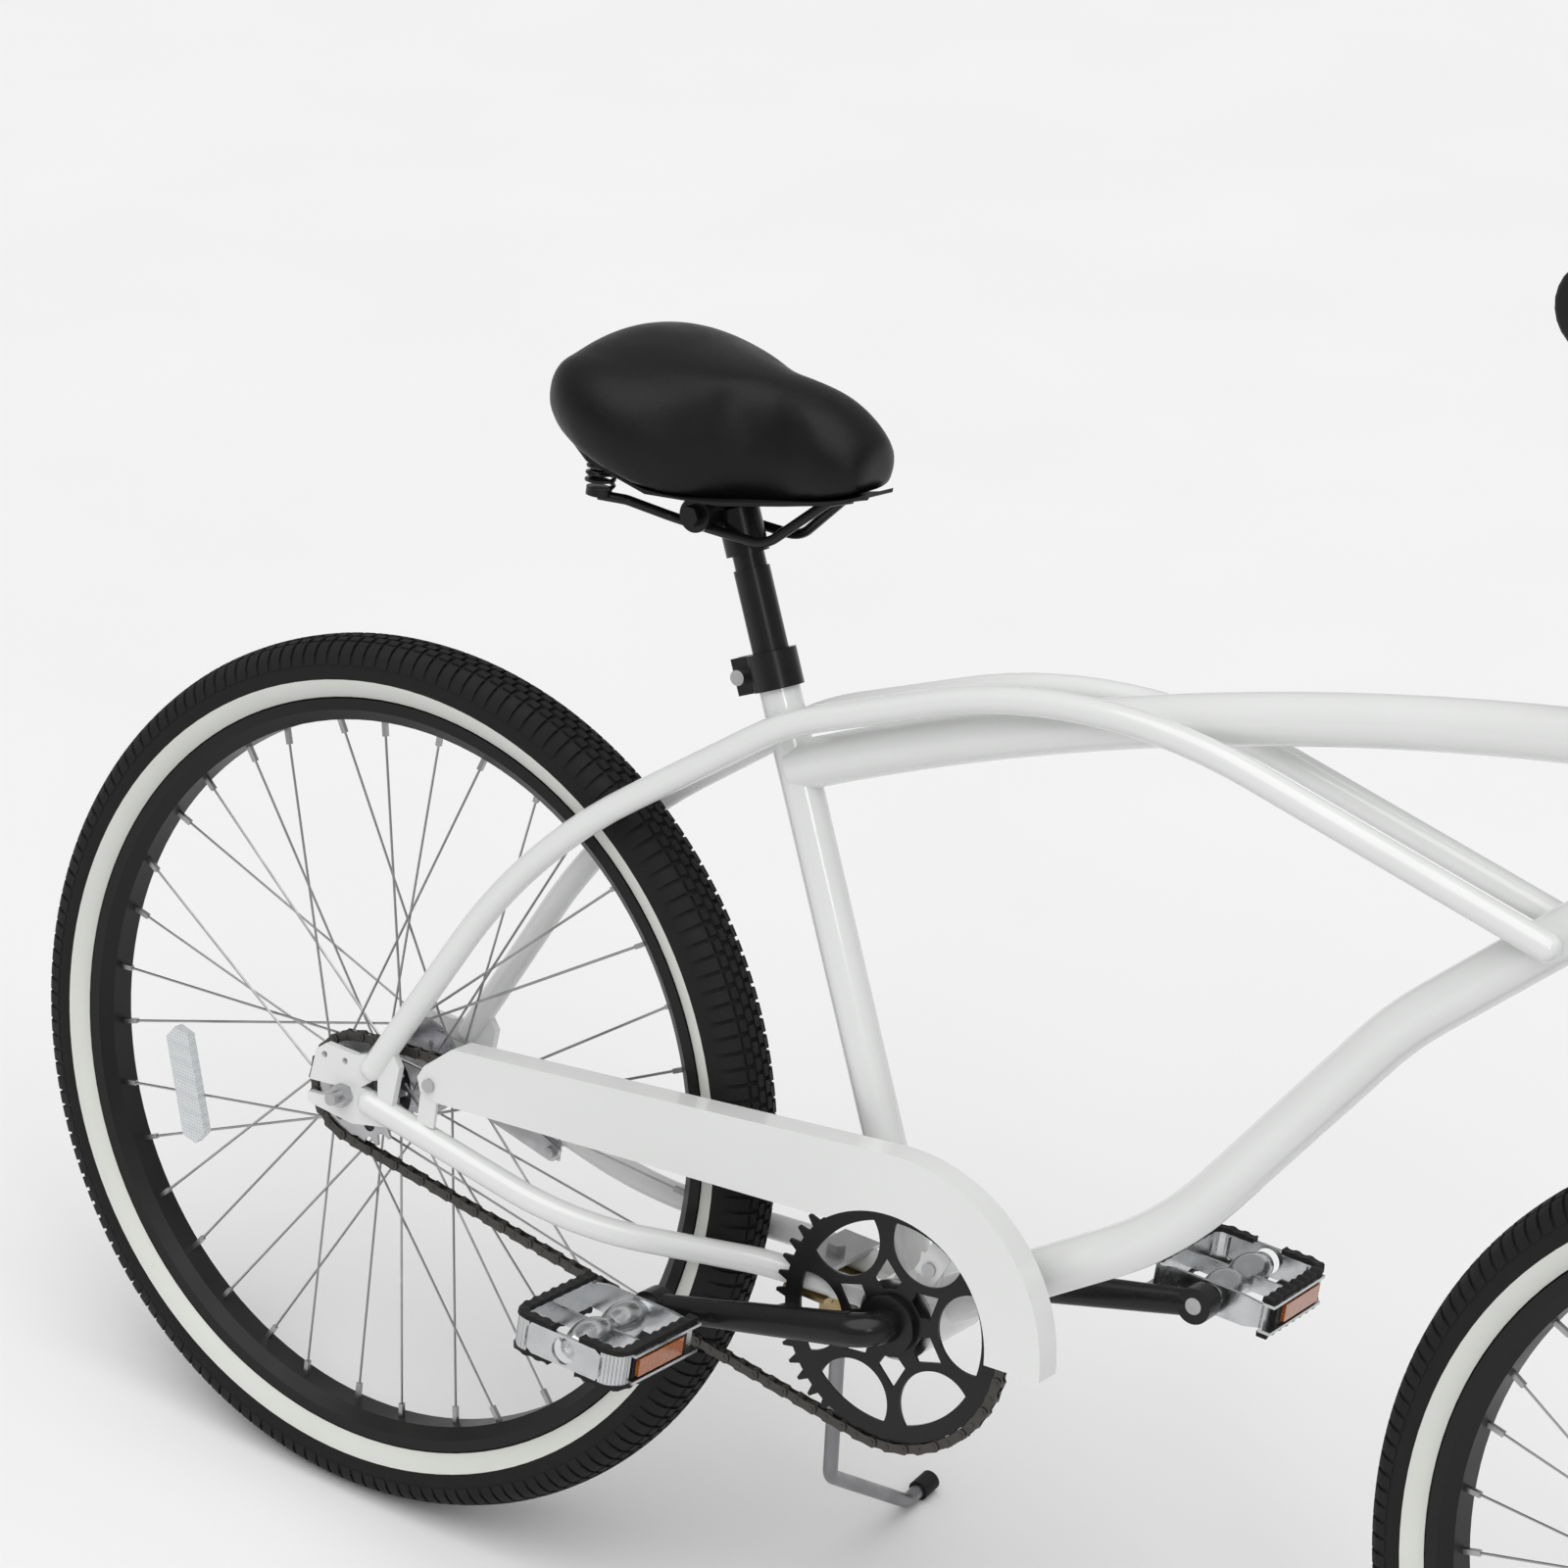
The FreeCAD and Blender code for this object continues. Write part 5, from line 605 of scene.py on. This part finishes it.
def holed_plate(shape, y, half, deep, hole, thick):
    """An upright plate across the pedal with a round hole in its middle."""
    loops = []
    for way in (y, y + thick):
        for round_loop in (False, True):
            spots = []
            for count in range(HOLE_STEPS):
                turn = math.tau * count / HOLE_STEPS + 0.02
                reach = hole
                if not round_loop:
                    reach = min(half / max(abs(math.cos(turn)), 1e-6), deep / max(abs(math.sin(turn)), 1e-6))
                spots.append(shape.verts.new((reach * math.cos(turn), way, reach * math.sin(turn))))
            loops.append(spots)
    for first, second in ((0, 1), (1, 3), (3, 2), (2, 0)):
        one, other = loops[first], loops[second]
        for count in range(HOLE_STEPS):
            after = (count + 1) % HOLE_STEPS
            shape.faces.new((one[count], one[after], other[after], other[count]))


def corner_path(half, start, end, radius, stop):
    """Plan of one rail: along the rail, round the outer corner and in along the outer plate, as (x, y)."""
    spots = [(half, start), (half, end - radius)]
    for count in range(1, 8):
        turn = count / 8 * math.pi / 2
        spots.append((half - radius + radius * math.cos(turn), end - radius + radius * math.sin(turn)))
    return spots + [(half - radius, end), (stop, end)]


def even_steps(path, pitch):
    """Places at an even pitch along a path, each with its heading."""
    found = []
    spare = 0.0
    for (x, y), (to_x, to_y) in zip(path, path[1:]):
        length = math.hypot(to_x - x, to_y - y)
        heading = Vector(((to_x - x) / length, (to_y - y) / length, 0.0))
        while spare < length:
            found.append((Vector((x, y, 0.0)) + heading * spare, heading))
            spare += pitch
        spare -= length
    return found


def tread_strip(shape, path, low, rise):
    """A rubber strip along a path whose edge and top step in and out from tooth to tooth."""
    rings = []
    for count, (spot, heading) in enumerate(even_steps(path, STRIP_PITCH)):
        across = Vector((heading.y, -heading.x, 0.0))
        tooth = 1.0 if count % 4 < 2 else 0.78
        wide = STRIP_HALF * (1.0 if count % 4 < 2 else 0.9)
        ring = [(across * -wide, low), (across * wide, low), (across * wide * 0.9, low + rise * tooth),
                (across * -wide * 0.9, low + rise * tooth)]
        rings.append([shape.verts.new(spot + side + Vector((0, 0, z))) for side, z in ring])
    for first, second in zip(rings, rings[1:]):
        for count in range(4):
            after = (count + 1) % 4
            shape.faces.new((first[count], first[after], second[after], second[count]))
    shape.faces.new(rings[0])
    shape.faces.new(list(reversed(rings[-1])))


# %% [markdown]
# The barrel is spun from a wavy profile, the rails are channel sections pushed along the axle, and each outer
# corner is a short bent wall. The strips go on the upper and the lower edges, so the pedal can be used either
# way up.

# %% Pedals
BARREL_BORE = 0.0062
BARREL_RADIUS = 0.0090
BARREL_SWELL = 0.0045
SWELLINGS = (0.24, 0.70)  # shares of the barrel's length
SWELL_REACH = 0.22
BARREL_STEPS = 26
LIP = 0.0034
LIP_THICKNESS = 0.0022
HALF_WALL = 0.0015
HOLE_SHARE = 0.86
AXLE_HOLE = 0.0088
WEB_HALF = 0.006
WEB_THICKNESS = 0.0024
TRAY_EDGE = 0.0024
TRAY_START = 0.012


def barrel(shape, inner, outer):
    """The sleeve over the axle, with two swellings and a closed outer end."""
    profile = [(BARREL_BORE, inner), (0.0095, inner)]
    span = outer - inner
    for count in range(1, 24):
        share = count / 24
        bulge = 0.0
        for middle in SWELLINGS:
            if abs(share - middle) < SWELL_REACH:
                bulge = max(math.cos((share - middle) / SWELL_REACH * math.pi / 2), 0.0)
        profile.append((BARREL_RADIUS + BARREL_SWELL * bulge, inner + span * 0.93 * share))
    profile += [(0.006, inner + span * 0.93), (0.0, inner + span * 0.94)]
    line = [shape.verts.new((reach, way, 0.0)) for reach, way in profile]
    edges = [shape.edges.new(pair) for pair in zip(line, line[1:])]
    bmesh.ops.spin(shape, geom=line + edges, cent=(0, 0, 0), axis=(0, 1, 0), angle=math.tau,
                   steps=BARREL_STEPS, use_merge=True)


def pedal(side):
    """The cage of one pedal with its trays, and its tread strips."""
    place = axle_frame(side + "_pedal_spin") @ Matrix.Diagonal((1, 1 if side == "left" else -1, 1, 1))
    low, high = local_box(side + "_pedal_cage", place)
    inner, outer, half, deep = low.y, high.y, high.x, high.z
    cage = bmesh.new()
    lip = half + LIP
    under = deep - LIP_THICKNESS
    section = [(half - 0.006, deep), (lip, deep), (lip, under), (half - WALL, under)]
    section += [(x, -z) for x, z in reversed(section)]
    for front in (1, -1):
        outline = [(front * x, inner, z) for x, z in section]
        pushed(cage, outline, (0, outer - inner - CORNER, 0))
        path = corner_path(half - HALF_WALL, outer - CORNER, outer - HALF_WALL, CORNER - HALF_WALL,
                           half - CORNER - 0.002)
        for (x, y), (to_x, to_y) in zip(path[1:], path[2:]):
            out = Vector((to_y - y, x - to_x, 0)).normalized() * WALL / 2
            corners = [Vector((x, y, 0)) + out, Vector((to_x, to_y, 0)) + out, Vector((to_x, to_y, 0)) - out,
                       Vector((x, y, 0)) - out]
            pushed(cage, [(front * spot.x, spot.y, -deep) for spot in corners], (0, 0, 2 * deep))
    reach = half - 0.004
    holed_plate(cage, outer - WALL, half - CORNER, deep, deep * HOLE_SHARE, WALL)
    holed_plate(cage, inner, reach, deep, AXLE_HOLE, WALL)
    web = (inner + outer) / 2
    pushed(cage, [(-reach, web, -WEB_HALF), (reach, web, -WEB_HALF), (reach, web, WEB_HALF),
                  (-reach, web, WEB_HALF)], (0, WEB_THICKNESS, 0))
    barrel(cage, inner, outer)
    shell_count = len(cage.faces)
    near, far, high_edge = half - 0.0032, half + 0.0006, deep - TRAY_EDGE
    for front in (1, -1):
        corners = [(near, -high_edge), (near, high_edge), (far, high_edge), (far, -high_edge)]
        tray = [(front * x, inner + TRAY_START, z) for x, z in corners]
        pushed(cage, tray, (0, outer - inner - CORNER - 0.014, 0))
    cage.faces.ensure_lookup_table()
    for face in cage.faces[shell_count:]:
        face.material_index = 1
    bmesh.ops.transform(cage, matrix=place, verts=cage.verts)
    put(side + "_moulded_pedal", cage, side + "_pedal", [pedal_alloy, black_plastic],
        [side + "_pedal_cage"], sharp=30.0)
    strips = bmesh.new()
    for front in (1, -1):
        path = corner_path(half - 0.003, inner + 0.001, outer - 0.004, CORNER - 0.004, 0.010)
        for top in (1, -1):
            tread_strip(strips, [(front * x, y) for x, y in path], top * deep, top * STRIP_RISE)
    bmesh.ops.transform(strips, matrix=place, verts=strips.verts)
    put(side + "_tread_strips", strips, side + "_pedal", [black_rubber],
        [side + "_pedal_treads"], sharp=30.0)


for side in ("left", "right"):
    pedal(side)

# %% [markdown]
# A grip is a rubber sleeve pushed on the bar's end: a flange that stops the thumb, a row of ribs and a closed
# end. The frame's own sleeves give the line, the length and the thickness of both, so the ribbed ones are
# drawn as a profile along that line, spun round it, and carried into place.

# %% Ribbed grips
GRIP_RIBS = 22
RIB_DEPTH = 0.0014
GRIP_STEPS = 26
END_BAND = 0.002  # points this near an end of the sleeve belong to it


def end_centre(points, ways, limit):
    """The mean of the points that lie within the end band of a limit along the sleeve."""
    close = [point for point, way in zip(points, ways) if abs(way - limit) < END_BAND]
    return sum(close, Vector()) / len(close)


def sleeve_frames():
    """For each sleeve: a matrix with Y outwards along it from its inner end, its length and its radius."""
    points = [vert.co.copy() for vert in nodes["grips"].data.vertices]
    low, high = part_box("grips")
    middle = (low + high) / 2
    found = []
    for side in (1, -1):
        mine = [point for point in points if (point.y - middle.y) * side > 0]
        inner = min(mine, key=lambda point: point.y * side)
        outer = max(mine, key=lambda point: point.y * side)
        along = (outer - inner).normalized()
        for _ in range(12):
            ways = [point.dot(along) for point in mine]
            start = end_centre(mine, ways, min(ways))
            finish_end = end_centre(mine, ways, max(ways))
            along = (finish_end - start).normalized()
        across = along.cross(Vector((0, 0, 1))).normalized()
        turn = Matrix((across, along, across.cross(along))).transposed().to_4x4()
        radius = max((point - start - along * (point - start).dot(along)).length for point in mine)
        found.append((Matrix.Translation(start) @ turn, (finish_end - start).length, radius))
    return found


def grip(name, place, length, radius):
    """One ribbed sleeve."""
    body = radius * 0.9
    profile = [(0.0, body * 0.75), (0.0, radius), (0.004, radius), (0.005, body)]
    pitch = (length - 0.016) / GRIP_RIBS
    for rib in range(GRIP_RIBS):
        start = 0.007 + rib * pitch
        for share, depth in ((0.0, RIB_DEPTH), (0.25, 0.0), (0.75, 0.0), (1.0, RIB_DEPTH)):
            profile.append((start + share * pitch * 0.8, body - depth))
    profile += [(length - 0.005, body), (length - 0.001, body * 0.86), (length, body * 0.6), (length, 0.0)]
    shape = bmesh.new()
    line = [shape.verts.new((reach, way, 0.0)) for way, reach in profile]
    edges = [shape.edges.new(pair) for pair in zip(line, line[1:])]
    bmesh.ops.spin(shape, geom=line + edges, cent=(0, 0, 0), axis=(0, 1, 0), angle=math.tau,
                   steps=GRIP_STEPS, use_merge=True)
    bmesh.ops.remove_doubles(shape, verts=shape.verts, dist=0.00001)
    bmesh.ops.transform(shape, matrix=place, verts=shape.verts)
    put(name, shape, "steering", [black_rubber], ["grips"], sharp=40.0)


for name, (place, length, radius) in zip(("left_ribbed_grip", "right_ribbed_grip"), sleeve_frames()):
    grip(name, place, length, radius)

# %% [markdown]
# The saddle is a soft vinyl cover over foam. The frame's cushion gives its outline. A copy of it is welded,
# remeshed into even cells and blown up a little as cloth under pressure, so that its crown rounds out and its
# foot stays drawn in. Then it is drawn in behind the nose, so that wings and nose read as two forms, and the
# result is kept as a plain mesh.

# %% Saddle
WAIST, WAIST_AT, WAIST_SPREAD = 0.28, 0.66, 0.13
NOSE_RISE, NOSE_AT, NOSE_SPREAD = 0.009, 0.82, 0.17
SMOOTH_PASSES = 3
VOXEL = 0.0045
PRESSURE = 4.0
MOST_SWELL = 0.004
CLOTH_FRAMES = 20


def vinyl_finish():
    """Black vinyl with fine pores."""
    material = finish("saddle_vinyl", (0.005, 0.005, 0.005), (0.008, 0.008, 0.008), 0.34, 0.46, scale=30.0,
                      bump=0.0, worn=(0.012, 0.012, 0.012), wear=0.1, wear_scale=120.0, specular=0.2)
    tree = material.node_tree
    where = tree.nodes.new("ShaderNodeTexCoord")
    pores = tree.nodes.new("ShaderNodeTexVoronoi")
    pores.feature = "DISTANCE_TO_EDGE"
    pores.inputs["Scale"].default_value = 620.0
    tree.links.new(where.outputs["Object"], pores.inputs["Vector"])
    creases = ranged(tree, pores.outputs["Distance"], 0.0, 0.12)
    relief = tree.nodes.new("ShaderNodeBump")
    relief.inputs["Strength"].default_value = 0.16
    relief.inputs["Distance"].default_value = 0.0006
    tree.links.new(creases, relief.inputs["Height"])
    tree.links.new(relief.outputs["Normal"], tree.nodes["Principled BSDF"].inputs["Normal"])
    return material


saddle_vinyl = vinyl_finish()


def swollen(piece):
    """Inflates a mesh as cloth under pressure, and lets no point move further than a limit."""
    before = [vert.co.copy() for vert in piece.data.vertices]
    cloth = piece.modifiers.new("swell", "CLOTH")
    cloth.settings.use_pressure = True
    cloth.settings.uniform_pressure_force = PRESSURE
    cloth.settings.effector_weights.gravity = 0.0
    for number in range(1, CLOTH_FRAMES + 1):
        bpy.context.scene.frame_set(number)
    graph = bpy.context.evaluated_depsgraph_get()
    after = [vert.co.copy() for vert in piece.evaluated_get(graph).data.vertices]
    piece.modifiers.remove(cloth)
    bpy.context.scene.frame_set(1)
    furthest = 0.0
    for vert, old, new in zip(piece.data.vertices, before, after):
        move = new - old
        furthest = max(furthest, move.length)
        if move.length > MOST_SWELL:
            move = move.normalized() * MOST_SWELL
        vert.co = old + move
    print("cloth reached mm", round(furthest * 1000, 1), "kept within mm", MOST_SWELL * 1000)


def hump(way, middle, spread):
    """A smooth rise to one at the middle that fades to nothing on both sides."""
    return math.exp(-((way - middle) / spread) ** 2)


def shaped(verts):
    """Draws the cushion in between its wings and its nose, and fills out the crown of the nose."""
    spots = [rear_axle.inverted() @ vert.co for vert in verts]
    back, front = min(spot.x for spot in spots), max(spot.x for spot in spots)
    low, high = min(spot.z for spot in spots), max(spot.z for spot in spots)
    for vert, spot in zip(verts, spots):
        way = (spot.x - back) / (front - back)
        spot.y *= 1.0 - WAIST * hump(way, WAIST_AT, WAIST_SPREAD)
        spot.z += NOSE_RISE * hump(way, NOSE_AT, NOSE_SPREAD) * (spot.z - low) / (high - low)
        vert.co = rear_axle @ spot


def saddle():
    """The padded cover, from the frame's cushion."""
    shape = bmesh.new()
    shape.from_mesh(nodes["saddle_cover"].data)
    bmesh.ops.remove_doubles(shape, verts=shape.verts, dist=0.00005)
    low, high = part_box("saddle_cover")
    centre = (low + high) / 2
    bmesh.ops.scale(shape, vec=(0.985, 0.98, 0.97), space=Matrix.Translation(-centre), verts=shape.verts)
    piece = put("saddle_cushion", shape, "seat", [saddle_vinyl], ["saddle_cover"], sharp=80.0)
    remesh = piece.modifiers.new("even", "REMESH")
    remesh.mode = "VOXEL"
    remesh.voxel_size = VOXEL
    graph = bpy.context.evaluated_depsgraph_get()
    even = bpy.data.meshes.new_from_object(piece.evaluated_get(graph))
    piece.modifiers.clear()
    piece.data = even
    even.materials.clear()
    even.materials.append(saddle_vinyl)
    swollen(piece)
    smooth = bmesh.new()
    smooth.from_mesh(even)
    shaped(smooth.verts)
    for _ in range(SMOOTH_PASSES):
        bmesh.ops.smooth_vert(smooth, verts=smooth.verts, factor=0.5, use_axis_x=True, use_axis_y=True,
                              use_axis_z=True)
    smooth.to_mesh(even)
    smooth.free()
    even.shade_smooth()
    print("saddle faces", len(even.polygons))


saddle()

# %% [markdown]
# The picture is a studio shot on a pale ground. The floor is one wide plane under a broad overhead light,
# which is a sun with a wide disc: it lights the whole floor evenly and leaves only a soft shadow under the
# wheels. The world is dim for the light it gives and pale where it is looked at, so the sides of the tubes
# stay a shade darker than their tops. One weak lamp by the camera draws the bright lines on the black pieces.
# The camera stands where the photographer stood.

# %% Floor, light and camera
def pale_floor():
    """A wide sheet of pale paper."""
    shape = bmesh.new()
    bmesh.ops.create_grid(shape, x_segments=2, y_segments=2, size=14.0)
    mesh = bpy.data.meshes.new("studio_floor")
    shape.to_mesh(mesh)
    shape.free()
    floor = bpy.data.objects.new("studio_floor", mesh)
    bpy.context.scene.collection.objects.link(floor)
    material = bpy.data.materials.new("studio_floor_paper")
    material.use_nodes = True
    tree = material.node_tree
    shader = tree.nodes["Principled BSDF"]
    shader.inputs["Roughness"].default_value = 0.9
    shader.inputs["Specular IOR Level"].default_value = 0.1
    where = tree.nodes.new("ShaderNodeTexCoord")
    grain = tree.nodes.new("ShaderNodeTexNoise")
    grain.inputs["Scale"].default_value = 3.0
    tree.links.new(where.outputs["Object"], grain.inputs["Vector"])
    tree.links.new(blended(material, grain.outputs["Fac"], (0.86, 0.86, 0.86), (0.89, 0.89, 0.89)),
                   shader.inputs["Base Color"])
    mesh.materials.append(material)
    floor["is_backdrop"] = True


def soft_lamp(name, spot, target, size, power):
    """A round lamp that looks at a target."""
    lamp = bpy.data.lights.new(name, "AREA")
    lamp.shape = "DISK"
    lamp.size = size
    lamp.energy = power
    item = bpy.data.objects.new(name, lamp)
    item.location = spot
    item.rotation_mode = "QUATERNION"
    item.rotation_quaternion = (Vector(target) - Vector(spot)).to_track_quat("-Z", "Y")
    bpy.context.scene.collection.objects.link(item)


def overhead_light(strength, disc, lean):
    """A sun with a wide disc, a little towards the camera from straight above."""
    sun = bpy.data.lights.new("overhead_light", "SUN")
    sun.energy = strength
    sun.angle = math.radians(disc)
    item = bpy.data.objects.new("overhead_light", sun)
    item.rotation_euler = (math.radians(lean), 0.0, math.radians(20.0))
    bpy.context.scene.collection.objects.link(item)


def studio_world(given, looked_at):
    """A world that lights with one strength and is seen with another."""
    world = bpy.data.worlds.new("studio_world")
    bpy.context.scene.world = world
    world.use_nodes = True
    tree = world.node_tree
    ray = tree.nodes.new("ShaderNodeLightPath")
    backdrop = tree.nodes["Background"]
    backdrop.inputs["Color"].default_value = (1.0, 1.0, 1.0, 1.0)
    strength = ranged(tree, ray.outputs["Is Camera Ray"], 0.0, 1.0, given, looked_at)
    tree.links.new(strength, backdrop.inputs["Strength"])


pale_floor()
studio_world(0.40, 0.896)
overhead_light(2.05, 70.0, 18.0)
soft_lamp("camera_lamp", (1.9, -1.9, 1.9), (0.0, -0.05, 0.5), 0.6, 6.0)

camera = bpy.data.cameras.new("photo_camera")
camera.sensor_width = 36.0
camera.lens = 96.458
viewer = bpy.data.objects.new("photo_camera", camera)
bpy.context.scene.collection.objects.link(viewer)
PHOTO_TURN = Matrix(((0.826194, -0.284259, 0.486417), (0.56218, 0.359488, -0.744797),
                     (0.036854, 0.8888, 0.456811)))
viewer.matrix_world = Matrix.Translation((1.129043, -2.199137, 1.953041)) @ PHOTO_TURN.to_4x4()
bpy.context.scene.camera = viewer
bpy.context.scene.view_settings.view_transform = "Standard"
print("camera at", [round(v, 3) for v in viewer.location])

# %% [markdown]
# The dressed bicycle should be no larger than the solid one. Both boxes are measured and printed.

# %% Sizes and end
seen_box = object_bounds()
for label, box in (("cad", cad_box), ("visual", seen_box)):
    print(label, [round(v, 4) for v in box[1] - box[0]])
